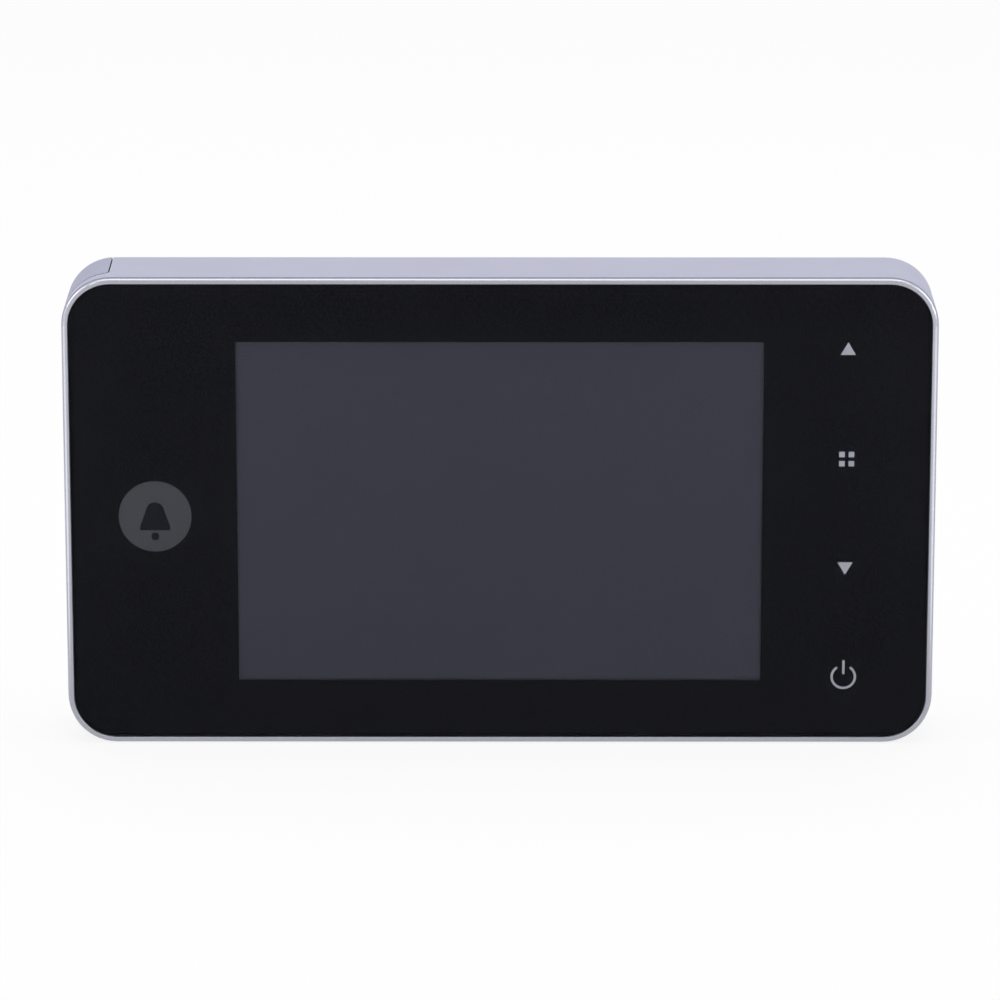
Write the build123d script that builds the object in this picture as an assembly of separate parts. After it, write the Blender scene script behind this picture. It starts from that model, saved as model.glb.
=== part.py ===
from build123d import *
import math
import os

# Indoor unit of a peephole door camera, on the steel bracket that holds it to a door.
# Millimetres. X runs to the viewer's right, Y from the glass towards the door, Z up.
# The origin is on the surface the unit stands on, under the middle of its box.
# Depths are measured back from the front rim. Places in x and z are measured from the
# middle of the front.

# Casing
body_width = 138.2
body_height = 76.4
body_depth = 16.0
corner_radius = 7.8
back_edge_radius = 1.2
wall = 1.5
rim_thickness = 0.45
press_gap = 0.05
slide_gap = 0.15
parting_gap = 0.05
shoulder_radius = 0.15
seam_gap = 0.2
seam_front_gap = 0.32
cut_overrun = 1.0

# Seam between the housing and the battery cover, as seen on the top face
seam_edge_distance = 7.38
seam_depth = 3.83
seam_corner_radius = 0.7

# Bezel ring
ring_width = 0.98
ring_step = 0.15
ring_depth = 1.0
ring_front_radius = 0.48
ring_lip_radius = 0.12
ring_skirt_depth = 1.0

# Front glass and what is printed on its back
glass_gap = 0.08
glass_recess = 0.1
glass_thickness = 1.5
glass_bevel = 0.2
print_gap = 0.02
print_thickness = 0.08
print_inset = 0.15
artwork_drop = 0.3
window_side_band = 27.43
window_end_band = 10.38
window_corner_radius = 0.3
window_x = -0.06
window_z = 0.15

# Key symbols
key_count = 4
key_edge_distance = 14.2
key_end_distance = 6.0
key_middle_z = -0.08
arrow_width = 2.4
arrow_height = 2.03
menu_square = 0.88
menu_pitch = 1.5
power_radius = 2.05
power_stroke = 0.37
power_opening = 76.0
power_bar_length = 2.32
power_bar_rise = 1.6

# Badge
badge_edge_distance = 14.32
badge_z = -0.53
badge_radius = 5.79
bell_height = 4.6
bell_width = 4.8
bell_crown_radius = 1.5
bell_rim_height = 0.7
clapper_radius = 0.65
clapper_gap = 0.35

# Tape and gasket
tape_thickness = 0.3
tape_inset = 0.2
tape_width = 2.2
gasket_reach = 0.4
gasket_width = 1.4

# Front frame
flange_thickness = 0.8
frame_ring_gap = 0.2
frame_ring_width = 1.0
display_wall = 1.0
display_gap = 0.2
rib_thickness = 0.8
rib_z = 12.0
boss_radius = 2.2
boss_back_distance = 4.6
display_boss_radius = 1.7
display_boss_side_distance = 8.25
display_boss_end_distance = 5.12

# Display
display_side_margin = 4.5
display_end_margin = 2.65
display_depth_share = 0.1625
polariser_thickness = 0.2
polariser_margin = 0.9
cell_thickness = 1.1
cell_margin = 1.6
cell_ledge = 2.3
backplate_thickness = 0.3
ear_width = 6.0
ear_reach = 4.4

# Display flex
flex_thickness = 0.15
lcd_flex_width = 30.0
lcd_flex_overhang = 0.25
lcd_flex_return = 9.5
lcd_connector_length = 4.0
lcd_connector_width = 28.0

# Touch key board
key_board_width = 11.4
key_board_end_distance = 5.2
key_board_thickness = 0.8
key_board_gap = 0.3
key_board_shift = 0.3
light_hole_radius = 1.5
lamp_length = 3.8
lamp_width = 1.8
lamp_thickness = 0.9
touch_chip_size = 3.0
touch_chip_thickness = 0.8
touch_flex_width = 8.0
touch_flex_reach = 6.14
touch_flex_run = 5.5
touch_flex_return = 8.0
touch_connector_length = 3.4

# Main board
board_front_gap = 1.0
board_thickness = 1.2
board_bay_gap = 1.95
board_edge_distance = 2.2
board_end_distance = 10.2
board_screw_end_distance = 3.0
board_screw_left_share = -0.058
board_screw_right_share = 0.3193
post_radius = 2.3
post_hole_radius = 0.85
post_hole_length = 5.0
wafer_head_radius = 1.9
wafer_head_thickness = 0.7
board_screw_length = 5.5

# Shield can and parts on the main board
shield_recess_gap = 1.8
shield_width_share = 0.08
shield_height_share = 0.393
shield_thickness = 1.8
shield_wall = 0.2
chip_thickness = 1.0
chip_margin = 1.0
chip_rise_shares = (0.205, -0.25)
chip_height_shares = (0.41, 0.27)
coil_size = 5.0
coil_height_share = 0.331
capacitor_radius = 2.0
capacitor_height_share = 0.4966
power_row_edge_distance = 6.7
power_row_end_distance = 10.0
small_part_length = 2.0
small_part_width = 1.2
small_part_thickness = 0.8
small_part_pitch = 3.2
small_part_count = 7
small_row_end_distance = 7.5
small_row_share = 0.0145

# Camera socket
socket_width = 16.0
socket_length = 5.6
socket_height = 2.4
socket_low_z = 3.0
mouth_height = 0.5
mouth_width = 13.0
mouth_length = 4.2
mouth_lift = 0.7
contact_count = 12
contact_pitch = 1.0
contact_width = 0.4
contact_thickness = 0.2
contact_tail = 0.9
latch_thickness = 0.8
latch_length = 2.4
latch_width = 13.6
latch_pin_radius = 0.35
latch_pin_reach = 0.7
latch_pin_gap = 0.04
latch_swing_gap = 0.1
latch_lip = 0.5

# Recess in the back for the barrel nut and the flat cable
recess_width_share = 0.2758
recess_height_share = 0.3403
recess_board_gap = 0.5
recess_radius = 3.0
recess_wall = 1.2
socket_window_margin = 1.0
cable_room = 9.0

# Door bracket
bracket_x_share = 0.058
bracket_gap = 0.3
bracket_thickness = 1.2
bracket_side_margin = 3.0
bracket_end_distance = 11.2
bracket_radius = 4.0
barrel_hole_radius = 7.3
bracket_screw_side_distance = 4.5
bracket_screw_radius = 2.0
hook_recess_gap = 1.3
hook_upper_distance = 8.0
hook_lower_distance = 10.0
hook_width = 8.0
hook_rise = 5.2
hook_inner_gap = 0.3
hook_bend_radius = 0.5
hook_window_height = 7.4
hook_side_gap = 0.5
hook_travel = 5.6

# Battery, its bay and the sliding cover
battery_width_share = 0.2467
battery_end_distance = 11.7
battery_edge_radius = 1.4
battery_gap = 0.3
battery_cover_gap = 0.4
bay_wall = 1.2
bay_front_gap = 2.1
neck_wall = 1.3
floor_wall = 1.2
cover_thickness = 1.5
panel_side_reach = 3.85
panel_end_reach = 3.5
panel_corner_radius = 2.0
tongue_width = 0.9
tongue_thickness = 0.6
end_tab_width = 16.0
end_tab_length = 1.6
groove_count = 6
groove_pitch = 2.4
groove_width = 1.1
groove_length = 16.0
groove_cut = 0.45
groove_first_distance = 12.9

# Battery contacts
terminal_count = 3
terminal_pitch = 4.0
terminal_width = 2.4
terminal_height = 3.2
terminal_thickness = 0.2
contact_block_width = 5.6
contact_block_length = 13.0
spring_radius = 2.2
spring_thickness = 0.25
spring_width = 1.6
spring_offset = 0.15
contact_window_margin = 0.3

# Ports in the right wall
usb_end_distance = 23.2
usb_width = 7.5
usb_thickness = 2.5
usb_length = 5.6
usb_wall = 0.25
usb_corner_radius = 0.6
usb_recess = 0.5
usb_hole_gap = 0.3
tongue_board_thickness = 0.6
tongue_board_width = 4.6
tongue_board_length = 4.2
card_z = -3.0
cage_width = 14.2
cage_thickness = 1.8
cage_wall = 0.2
card_width = 11.0
card_length = 15.0
card_thickness = 0.7
card_recess = 0.3
card_gap = 0.15
card_corner = 0.8
card_push = 0.8
slider_width = 1.3
slider_length = 8.0
slot_gap = 0.4
scoop_radius = 9.0
scoop_cut = 0.9
scoop_width = 6.0

# Reset switch
reset_edge_distance = 10.4
reset_end_distance = 16.2
reset_body = 3.6
reset_body_thickness = 1.4
reset_button_radius = 0.8
reset_button_height = 0.7
reset_button_gap = 0.06
reset_seat_gap = 0.3
pinhole_radius = 0.8
pinhole_tube_radius = 1.9
pinhole_tube_gap = 0.6

# Speaker
speaker_radius_share = 0.0711
speaker_height_share = 0.4966
speaker_edge_gap = 1.6
speaker_end_distance = 22.2
speaker_wall = 0.9
speaker_gasket = 0.5
speaker_gasket_width = 1.6
magnet_edge_distance = 3.8
magnet_thickness_share = 0.444
cone_thickness = 0.25
cone_gap = 0.15
cone_dome_radius = 3.2
cone_dome_rise = 0.7
speaker_ring_gap = 0.2
speaker_ring_wall = 1.0
speaker_ring_length = 2.2
grille_hole_radius = 0.6
grille_edge = 0.7
grille_rings = 3
lead_radius = 0.35
lead_pitch = 1.8
lead_bend_radius = 2.0
lead_run = 4.0

# Case screws and inserts
case_screw_left_distance = 16.9
case_screw_right_distance = 5.7
case_screw_middle_share = 0.029
case_screw_end_distance = 4.2
case_screw_corner_distance = 6.2
case_screw_radius = 0.95
case_screw_length = 5.2
case_head_radius = 1.85
case_head_thickness = 1.3
case_hole_gap = 0.2
head_gap = 0.25
head_tube_wall = 1.0
seat_thickness = 1.4
insert_radius = 1.6
insert_bore_radius = 1.0
insert_length = 4.0
display_screw_radius = 0.75
display_screw_margin = 0.4
display_head_radius = 1.5
display_head_thickness = 0.5
cross_width = 0.4
cross_reach = 1.0
cross_depth = 0.4

# Sizes and places of the front that follow from the sizes above
half_width = body_width / 2
half_height = body_height / 2
total_depth = body_depth + bracket_gap + bracket_thickness
seam_x = -half_width + seam_edge_distance
window_width = body_width - 2 * window_side_band
window_height = body_height - 2 * window_end_band
key_x = half_width - key_edge_distance
key_board_height = body_height - 2 * key_board_end_distance
key_pitch = (key_board_height - 2 * key_end_distance) / (key_count - 1)
badge_x = -half_width + badge_edge_distance
display_width = window_width + 2 * display_side_margin
display_height = window_height + 2 * display_end_margin
display_depth = body_depth * display_depth_share
display_boss_x = display_width / 2 - display_boss_side_distance
display_boss_z = half_height - display_boss_end_distance
display_screw_length = display_depth - display_screw_margin
lcd_flex_bend_x = display_width / 2 + lcd_flex_overhang
lcd_flex_end_x = lcd_flex_bend_x - lcd_flex_return
touch_flex_bend_x = key_x + touch_flex_reach
touch_flex_start_x = touch_flex_bend_x - touch_flex_run
touch_flex_end_x = touch_flex_bend_x - touch_flex_return

# Depths and places behind the front that follow from the sizes above
back_wall = cover_thickness + slide_gap
inner_back_depth = body_depth - back_wall
housing_front_depth = ring_depth + parting_gap
glass_back_depth = glass_recess + glass_thickness
print_front_depth = glass_back_depth + print_gap
print_back_depth = print_front_depth + print_thickness
tape_back_depth = print_back_depth + tape_thickness
flange_back_depth = tape_back_depth + flange_thickness
shoulder_front_depth = flange_back_depth + press_gap
housing_seam_depth = seam_depth - seam_front_gap / 2
cover_seam_depth = seam_depth + seam_front_gap / 2
housing_seam_x = seam_x + seam_gap / 2
cover_seam_x = seam_x - seam_gap / 2
neck_inset = cover_thickness + slide_gap
neck_inner_inset = neck_inset + neck_wall
battery_width = body_width * battery_width_share
battery_height = body_height - 2 * battery_end_distance
bay_left_x = -half_width + neck_inner_inset
bay_right_x = bay_left_x + battery_width + 2 * battery_gap
bay_height = battery_height + 2 * battery_gap
battery_x = (bay_left_x + bay_right_x) / 2
panel_right_x = bay_right_x + panel_side_reach
panel_height = battery_height + 2 * panel_end_reach
groove_first_x = -half_width + groove_first_distance
display_back_depth = tape_back_depth + display_depth
stack_back_depth = display_back_depth + backplate_thickness
bay_floor_depth = stack_back_depth + bay_front_gap + bay_wall
battery_thickness = inner_back_depth + slide_gap - battery_cover_gap - bay_floor_depth
spring_depth = bay_floor_depth + battery_thickness / 2 - spring_offset
board_depth = stack_back_depth + board_front_gap
board_back_depth = board_depth + board_thickness
board_left_x = bay_right_x + bay_wall + board_bay_gap
board_right_x = half_width - board_edge_distance
board_height = body_height - 2 * board_end_distance
board_screw_z = board_height / 2 - board_screw_end_distance
board_screw_xs = (body_width * board_screw_left_share, body_width * board_screw_right_share)
board_screw_places = tuple((x, board_screw_z) for x in board_screw_xs)
board_room = inner_back_depth - board_back_depth
coil_thickness = board_room * coil_height_share
capacitor_length = board_room * capacitor_height_share
power_row_x = board_left_x + power_row_edge_distance
power_row_z = board_height / 2 - power_row_end_distance
small_row_x = body_width * small_row_share
small_row_z = board_height / 2 - small_row_end_distance
boss_depth = body_depth - boss_back_distance
case_screw_z = half_height - case_screw_end_distance
case_screw_places = (
    (-half_width + case_screw_left_distance, case_screw_z),
    (body_width * case_screw_middle_share, case_screw_z),
    (half_width - case_screw_right_distance, half_height - case_screw_corner_distance),
)
key_board_x = key_x - key_board_shift
screen_z = window_z - artwork_drop
frame_ring_inset = neck_inner_inset + frame_ring_gap
seat_front_depth = boss_depth + press_gap
seat_back_depth = seat_front_depth + seat_thickness
recess_width = body_width * recess_width_share
recess_height = body_height * recess_height_share
recess_floor_depth = board_back_depth + recess_board_gap + recess_wall
bracket_x = body_width * bracket_x_share
bracket_height = body_height - 2 * bracket_end_distance
bracket_screw_pitch = recess_width - 2 * bracket_screw_side_distance
hook_x = recess_width / 2 + recess_wall + hook_recess_gap + hook_side_gap + hook_width / 2
hook_upper_z = bracket_height / 2 - hook_upper_distance
hook_lower_z = hook_lower_distance - bracket_height / 2
bracket_width = 2 * hook_x + hook_width + 2 * bracket_side_margin
bracket_front_depth = body_depth + bracket_gap
shield_width = body_width * shield_width_share
shield_height = board_height * shield_height_share
shield_x = bracket_x + recess_width / 2 + recess_wall + shield_recess_gap + shield_width / 2
hook_inner_depth = inner_back_depth - hook_inner_gap
hook_finger_depth = hook_inner_depth - bracket_thickness
speaker_radius = body_width * speaker_radius_share
speaker_thickness = board_room * speaker_height_share
speaker_x = half_width - speaker_edge_gap - speaker_ring_wall - speaker_ring_gap - speaker_radius
speaker_z = speaker_end_distance - half_height
magnet_radius = speaker_radius - magnet_edge_distance
magnet_thickness = speaker_thickness * magnet_thickness_share
grille_reach = speaker_radius - speaker_gasket_width - grille_edge - grille_hole_radius
grille_pitch = grille_reach / grille_rings
speaker_back_depth = inner_back_depth - speaker_gasket
speaker_front_depth = speaker_back_depth - speaker_thickness
usb_z = half_height - usb_end_distance
usb_depth = board_back_depth + usb_thickness / 2
reset_x = half_width - reset_edge_distance
reset_z = half_height - reset_end_distance
card_front_depth = board_back_depth + cage_wall + card_gap
card_back_depth = card_front_depth + card_thickness
socket_top_depth = board_back_depth + socket_height
key_steps = [(key_count - 1) / 2 - index for index in range(key_count)]
key_heights = [key_middle_z - artwork_drop + key_pitch * step for step in key_steps]


def at_depth(depth):
    """Y of the plane that lies this far behind the front rim."""
    return depth - total_depth / 2


def face_plane(depth):
    """Plane that faces the viewer at a depth, its origin level with the middle of the front."""
    return Plane(origin=(0, at_depth(depth), body_height / 2), x_dir=(1, 0, 0), z_dir=(0, -1, 0))


def slab(outline, near, far):
    """Solid of an outline between two depths."""
    return extrude(face_plane(far) * outline, amount=far - near)


def block(left, right, near, far, low, high):
    """Box between two places in x, two depths and two heights."""
    outline = Pos((left + right) / 2, (low + high) / 2) * Rectangle(right - left, high - low)
    return slab(outline, near, far)


def disc(x, z, radius, near, far):
    """Cylinder along the depth."""
    return slab(Pos(x, z) * Circle(radius), near, far)


def rounded(width, height, radius):
    """Rectangle with round corners, or a plain one where there is no room for them."""
    if 0 < radius < min(width, height) / 2:
        return RectangleRounded(width, height, radius)
    return Rectangle(width, height)


def front_outline(inset):
    """Outline of the unit from the front, drawn in all round."""
    return rounded(body_width - 2 * inset, body_height - 2 * inset, corner_radius - inset)


def side_profile(points):
    """Face across x, from (depth, height) points."""
    plane = Plane(origin=(0, at_depth(0), body_height / 2), x_dir=(0, 1, 0), z_dir=(1, 0, 0))
    return plane * make_face(Polyline(*points, close=True))


def top_profile(outline):
    """Outline drawn in x and depth, laid level with the middle of the front."""
    plane = Plane(origin=(0, at_depth(0), body_height / 2), x_dir=(1, 0, 0), z_dir=(0, 0, 1))
    return plane * outline


def mirrored_places(places):
    """Each place and its mirror image below the middle."""
    return [(x, sign * z) for x, z in places for sign in (1, -1)]


def pieces(solids):
    """Separate solids that share one node."""
    return Compound(children=[solid for solid in solids])


def bezel_ring():
    """Silver trim round the glass, a step in from the casing, with a skirt that stands on the front frame."""
    ring = slab(front_outline(ring_step), 0, ring_depth)
    ring = fillet(ring.edges().group_by(Axis.Y)[0], ring_front_radius)
    ring -= slab(front_outline(ring_width), -cut_overrun, ring_depth + cut_overrun)
    ring = fillet(ring.faces().sort_by(Axis.Y)[0].inner_wires()[0].edges(), ring_lip_radius)
    skirt = front_outline(rim_thickness + press_gap) - front_outline(ring_width)
    return ring + slab(skirt, ring_depth, ring_depth + ring_skirt_depth)


def front_glass():
    """Clear front panel with a bevel round its front edge."""
    glass = slab(front_outline(ring_width + glass_gap), glass_recess, glass_back_depth)
    return chamfer(glass.edges().group_by(Axis.Y)[0], glass_bevel)


def arrow(height, direction):
    """Solid triangle that points up or down."""
    tip = direction * arrow_height / 2
    corners = [(-arrow_width / 2, -tip), (arrow_width / 2, -tip), (0, tip)]
    outline = make_face(Polyline(*corners, close=True))
    return [Pos(key_x, height) * outline]


def menu_symbol(height):
    """Four small squares."""
    steps = (-menu_pitch / 2, menu_pitch / 2)
    return [Pos(key_x + x, height + z) * Rectangle(menu_square, menu_square) for x in steps for z in steps]


def power_symbol(height):
    """Open ring with a bar in its gap, the ends of both round."""
    middle = power_radius - power_stroke / 2
    start = 90 + power_opening / 2
    arc = CenterArc((0, 0), middle, start, 360 - power_opening)
    ring = SlotArc(arc, power_stroke)
    bar = Pos(0, power_bar_rise) * Rot(0, 0, 90) * SlotOverall(power_bar_length, power_stroke)
    return [Pos(key_x, height) * ring, Pos(key_x, height) * bar]


def key_outlines():
    """Outlines of all key symbols, from the top key down."""
    up, menu, down, power = key_heights
    return arrow(up, 1) + menu_symbol(menu) + arrow(down, -1) + power_symbol(power)


def bell_outline():
    """Plain bell: a domed body on a rim, with a clapper below."""
    rim_low = -bell_height / 2
    low, high = rim_low + bell_rim_height, bell_height / 2 - bell_crown_radius
    half = bell_width / 2
    sides = [(-half, low), (half, low), (bell_crown_radius, high), (-bell_crown_radius, high)]
    body = make_face(Polyline(*sides, close=True)) + Pos(0, high) * Circle(bell_crown_radius)
    rim = Pos(0, rim_low + bell_rim_height / 2) * Rectangle(bell_width, bell_rim_height)
    return body + rim


def clapper_outline():
    """Clapper of the bell."""
    return Pos(0, -bell_height / 2 - clapper_gap - clapper_radius) * Circle(clapper_radius)


def badge_place():
    """Middle of the badge."""
    return Pos(badge_x, badge_z - artwork_drop)


def print_slab(outline):
    """Solid of the printed layer's thickness behind the glass."""
    return slab(outline, print_front_depth, print_back_depth)


def glass_print():
    """Black print behind the glass, open at the screen, the key symbols and the badge."""
    outline = front_outline(ring_width + glass_gap + print_inset)
    outline -= Pos(window_x, screen_z) * rounded(window_width, window_height, window_corner_radius)
    outline -= badge_place() * Circle(badge_radius)
    for symbol in key_outlines():
        outline -= symbol
    return print_slab(outline)


def key_symbols():
    """Light print that fills the key symbols."""
    return pieces([print_slab(symbol) for symbol in key_outlines()])


def badge_disc():
    """Grey print of the badge, open where its bell is."""
    return print_slab(badge_place() * (Circle(badge_radius) - bell_outline() - clapper_outline()))


def badge_bell():
    """Dark print of the bell."""
    return pieces([print_slab(badge_place() * outline) for outline in (bell_outline(), clapper_outline())])


def glass_tape():
    """Adhesive ring between the printed glass and the front frame."""
    outer_inset = ring_width + glass_gap + print_inset + tape_inset
    outline = front_outline(outer_inset) - front_outline(outer_inset + tape_width)
    return slab(outline, print_back_depth, tape_back_depth)


def display_gasket():
    """Foam ring that keeps dust off the screen."""
    inner_width, inner_height = window_width + 2 * gasket_reach, window_height + 2 * gasket_reach
    outer = Rectangle(inner_width + 2 * gasket_width, inner_height + 2 * gasket_width)
    outline = Pos(window_x, screen_z) * (outer - Rectangle(inner_width, inner_height))
    return slab(outline, print_back_depth, tape_back_depth)


def front_frame():
    """Black frame that carries the glass and the display, with bosses for the case screws."""
    opening_width = display_width + 2 * display_gap
    opening_height = display_height + 2 * display_gap
    frame = slab(front_outline(rim_thickness + press_gap), tape_back_depth, flange_back_depth)
    wall_outline = front_outline(frame_ring_inset) - front_outline(frame_ring_inset + frame_ring_width)
    frame += slab(wall_outline, flange_back_depth, display_back_depth)
    outer = Rectangle(opening_width + 2 * display_wall, opening_height + 2 * display_wall)
    frame += slab(Pos(0, screen_z) * outer, flange_back_depth, display_back_depth)
    rib_left = -half_width + frame_ring_inset + frame_ring_width / 2
    for z in (-rib_z, rib_z):
        low, high = z - rib_thickness / 2, z + rib_thickness / 2
        frame += block(rib_left, -opening_width / 2, flange_back_depth, display_back_depth, low, high)
    hole_front = display_back_depth - display_screw_length
    for x, z in display_screw_places():
        frame += disc(x, z, display_boss_radius, flange_back_depth, display_back_depth)
        frame -= disc(x, z, display_screw_radius, hole_front, display_back_depth)
    for x, z in mirrored_places(case_screw_places):
        frame += disc(x, z, boss_radius, flange_back_depth, boss_depth)
        frame -= disc(x, z, insert_radius, boss_depth - insert_length, boss_depth)
        bore_front = boss_depth - case_screw_length
        frame -= disc(x, z, insert_bore_radius, bore_front, boss_depth)
    opening = Pos(0, screen_z) * Rectangle(opening_width, opening_height)
    frame -= slab(opening, tape_back_depth - cut_overrun, display_back_depth + cut_overrun)
    return frame - key_board_window() - flex_window()


def display_screw_places():
    """Places of the display's four screws."""
    return mirrored_places([(display_boss_x, display_boss_z), (-display_boss_x, display_boss_z)])


def key_board_window():
    """Room for the key board in the front frame, and for its flex where it turns."""
    half = key_board_width / 2 + key_board_gap
    high = key_board_height / 2 + key_board_gap
    window = block(key_board_x - half, key_board_x + half, 0, flange_back_depth, -high, high)
    right = touch_flex_bend_x + touch_flex_turn() / 2 + flex_thickness + key_board_gap
    high = touch_flex_width / 2 + key_board_gap
    return window + block(key_board_x, right, 0, flange_back_depth, -high, high)


def flex_window():
    """Room for the display's flex where it turns round the edge of the display."""
    right = key_board_x - key_board_width / 2
    half = lcd_flex_width / 2 + display_gap
    return block(display_width / 2, right, 0, display_back_depth, screen_z - half, screen_z + half)


def lcd_polariser():
    """Front film of the display."""
    outline = Rectangle(window_width + 2 * polariser_margin, window_height + 2 * polariser_margin)
    return slab(Pos(window_x, screen_z) * outline, tape_back_depth, tape_back_depth + polariser_thickness)


def cell_outline(margin, ledge):
    """Outline of the display's glass: the window, a margin all round and a ledge at the right."""
    width = window_width + 2 * margin + ledge
    return Pos(window_x + ledge / 2, screen_z) * Rectangle(width, window_height + 2 * margin)


def lcd_cell():
    """Glass of the display."""
    front = tape_back_depth + polariser_thickness
    return slab(cell_outline(cell_margin, cell_ledge), front, front + cell_thickness)


def backlight_tray():
    """White tray with the light guide, whose walls hold the display's glass."""
    cell_front = tape_back_depth + polariser_thickness
    cell_back = cell_front + cell_thickness
    tray = slab(Pos(0, screen_z) * Rectangle(display_width, display_height), cell_front, display_back_depth)
    tray -= slab(cell_outline(cell_margin + display_gap, cell_ledge), 0, cell_back)
    half = lcd_flex_width / 2 + display_gap
    return tray - block(0, display_width, 0, cell_back, screen_z - half, screen_z + half)


def lcd_backplate():
    """Steel sheet behind the display, with an ear at each screw."""
    far = display_back_depth + backplate_thickness
    outline = Pos(0, screen_z) * Rectangle(display_width, display_height)
    for x, z in display_screw_places():
        outline += Pos(x, z - math.copysign(ear_reach, z) / 2) * Rectangle(ear_width, ear_reach)
        outline += Pos(x, z) * Circle(display_boss_radius)
    for x, z in display_screw_places():
        outline -= Pos(x, z) * Circle(display_screw_radius + press_gap)
    return slab(outline, display_back_depth, far)


def cross_recess(x, z, depth, direction):
    """Cross slot sunk into a screw head whose face lies at a depth. Direction is 1 if it faces the door."""
    near, far = sorted((depth, depth - direction * cross_depth))
    cross = Rectangle(2 * cross_reach, cross_width) + Rectangle(cross_width, 2 * cross_reach)
    return slab(Pos(x, z) * cross, near, far)


def display_screws():
    """Four small screws that hold the backplate."""
    head_near = display_back_depth + backplate_thickness
    head_far = head_near + display_head_thickness
    screws = []
    for x, z in display_screw_places():
        shank_front = display_back_depth - display_screw_length
        shank = disc(x, z, display_screw_radius - press_gap, shank_front, head_near)
        head = disc(x, z, display_head_radius, head_near, head_far)
        screws.append(shank + head - cross_recess(x, z, head_far, 1))
    return pieces(screws)


def folded_flex(start_x, bend_x, end_x, near, far, half_width_z, middle_z):
    """Flat flex that runs right, turns back behind itself and runs left."""
    radius = (far - near) / 2
    centre = (bend_x, near + radius)
    outer, inner = Circle(radius + flex_thickness / 2), Circle(radius - flex_thickness / 2)
    turn = Pos(*centre) * (outer - inner)
    side = 2 * (radius + flex_thickness)
    turn -= Pos(bend_x - side / 2, near + radius) * Rectangle(side, side)
    start = Pos((start_x + bend_x) / 2, near) * Rectangle(bend_x - start_x, flex_thickness)
    end = Pos((end_x + bend_x) / 2, far) * Rectangle(bend_x - end_x, flex_thickness)
    strip = extrude(top_profile(turn + start + end), amount=half_width_z, both=True)
    return Pos(0, 0, middle_z) * strip


def lcd_connector_front():
    """Depth of the face of the display connector, where the flex plugs on."""
    return display_back_depth + backplate_thickness + press_gap + flex_thickness


def lcd_flex():
    """Flex from the ledge of the display's glass to its connector on the main board."""
    near = tape_back_depth + polariser_thickness - flex_thickness / 2
    far = lcd_connector_front() - flex_thickness / 2
    start_x = window_x + window_width / 2 + polariser_margin + flex_thickness
    return folded_flex(start_x, lcd_flex_bend_x, lcd_flex_end_x, near, far, lcd_flex_width / 2, screen_z)


def lcd_connector():
    """Flat connector on the front of the main board."""
    right = lcd_flex_end_x + lcd_connector_length
    low, high = screen_z - lcd_connector_width / 2, screen_z + lcd_connector_width / 2
    return block(lcd_flex_end_x, right, lcd_connector_front(), board_depth, low, high)


def key_board():
    """Board with the touch pads, stuck to the back of the print, with a light hole at each key."""
    half_wide, half_high = key_board_width / 2, key_board_height / 2
    far = print_back_depth + key_board_thickness
    outline = Pos(key_board_x, 0) * Rectangle(2 * half_wide, 2 * half_high)
    for z in key_heights:
        outline -= Pos(key_x, z) * Circle(light_hole_radius)
    return slab(outline, print_back_depth, far)


def key_diffusers():
    """White light discs in the holes of the key board."""
    far = print_back_depth + key_board_thickness
    radius = light_hole_radius - press_gap
    return pieces([disc(key_x, z, radius, print_back_depth, far) for z in key_heights])


def key_lamps():
    """One lamp across the back of each light hole."""
    near = print_back_depth + key_board_thickness
    half_long, half_wide = lamp_length / 2, lamp_width / 2
    lamps = []
    for z in key_heights:
        left, right = key_x - half_long, key_x + half_long
        lamps.append(block(left, right, near, near + lamp_thickness, z - half_wide, z + half_wide))
    return pieces(lamps)


def touch_chip():
    """Chip that reads the touch pads."""
    near = print_back_depth + key_board_thickness
    z = (key_heights[0] + key_heights[1]) / 2
    half = touch_chip_size / 2
    return block(key_x - half, key_x + half, near, near + touch_chip_thickness, z - half, z + half)


def touch_connector_front():
    """Depth of the face of the key board's connector."""
    return board_depth - lamp_thickness


def touch_flex_turn():
    """How far the key board's flex comes back behind itself."""
    return touch_connector_front() - print_back_depth - key_board_thickness - flex_thickness


def touch_flex():
    """Flex from the key board to its connector on the main board."""
    near = print_back_depth + key_board_thickness + flex_thickness / 2
    far = near + touch_flex_turn()
    half = touch_flex_width / 2
    return folded_flex(touch_flex_start_x, touch_flex_bend_x, touch_flex_end_x, near, far, half, 0)


def touch_connector():
    """Connector for the key board's flex on the front of the main board."""
    right = touch_flex_end_x + touch_connector_length
    half = touch_flex_width / 2
    return block(touch_flex_end_x, right, touch_connector_front(), board_depth, -half, half)


def main_board():
    """Main circuit board, with holes for its four screws."""
    half = board_height / 2
    board = block(board_left_x, board_right_x, board_depth, board_back_depth, -half, half)
    for x, z in mirrored_places(board_screw_places):
        board -= disc(x, z, post_hole_radius + case_hole_gap, board_depth, board_back_depth)
    return board


def board_screws():
    """Flat-headed screws that hold the main board to the housing's posts."""
    screws = []
    head_front = board_depth - wafer_head_thickness
    for x, z in mirrored_places(board_screw_places):
        shank = disc(x, z, post_hole_radius - press_gap, board_depth, board_depth + board_screw_length)
        head = disc(x, z, wafer_head_radius, head_front, board_depth)
        screws.append(shank + head - cross_recess(x, z, head_front, -1))
    return pieces(screws)


def shield_can():
    """Steel can over the processor and its memory."""
    outer = Pos(shield_x, 0) * Rectangle(shield_width, shield_height)
    inner = Pos(shield_x, 0) * Rectangle(shield_width - 2 * shield_wall, shield_height - 2 * shield_wall)
    far = board_back_depth + shield_thickness
    return slab(outer, board_back_depth, far) - slab(inner, board_back_depth, far - shield_wall)


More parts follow.
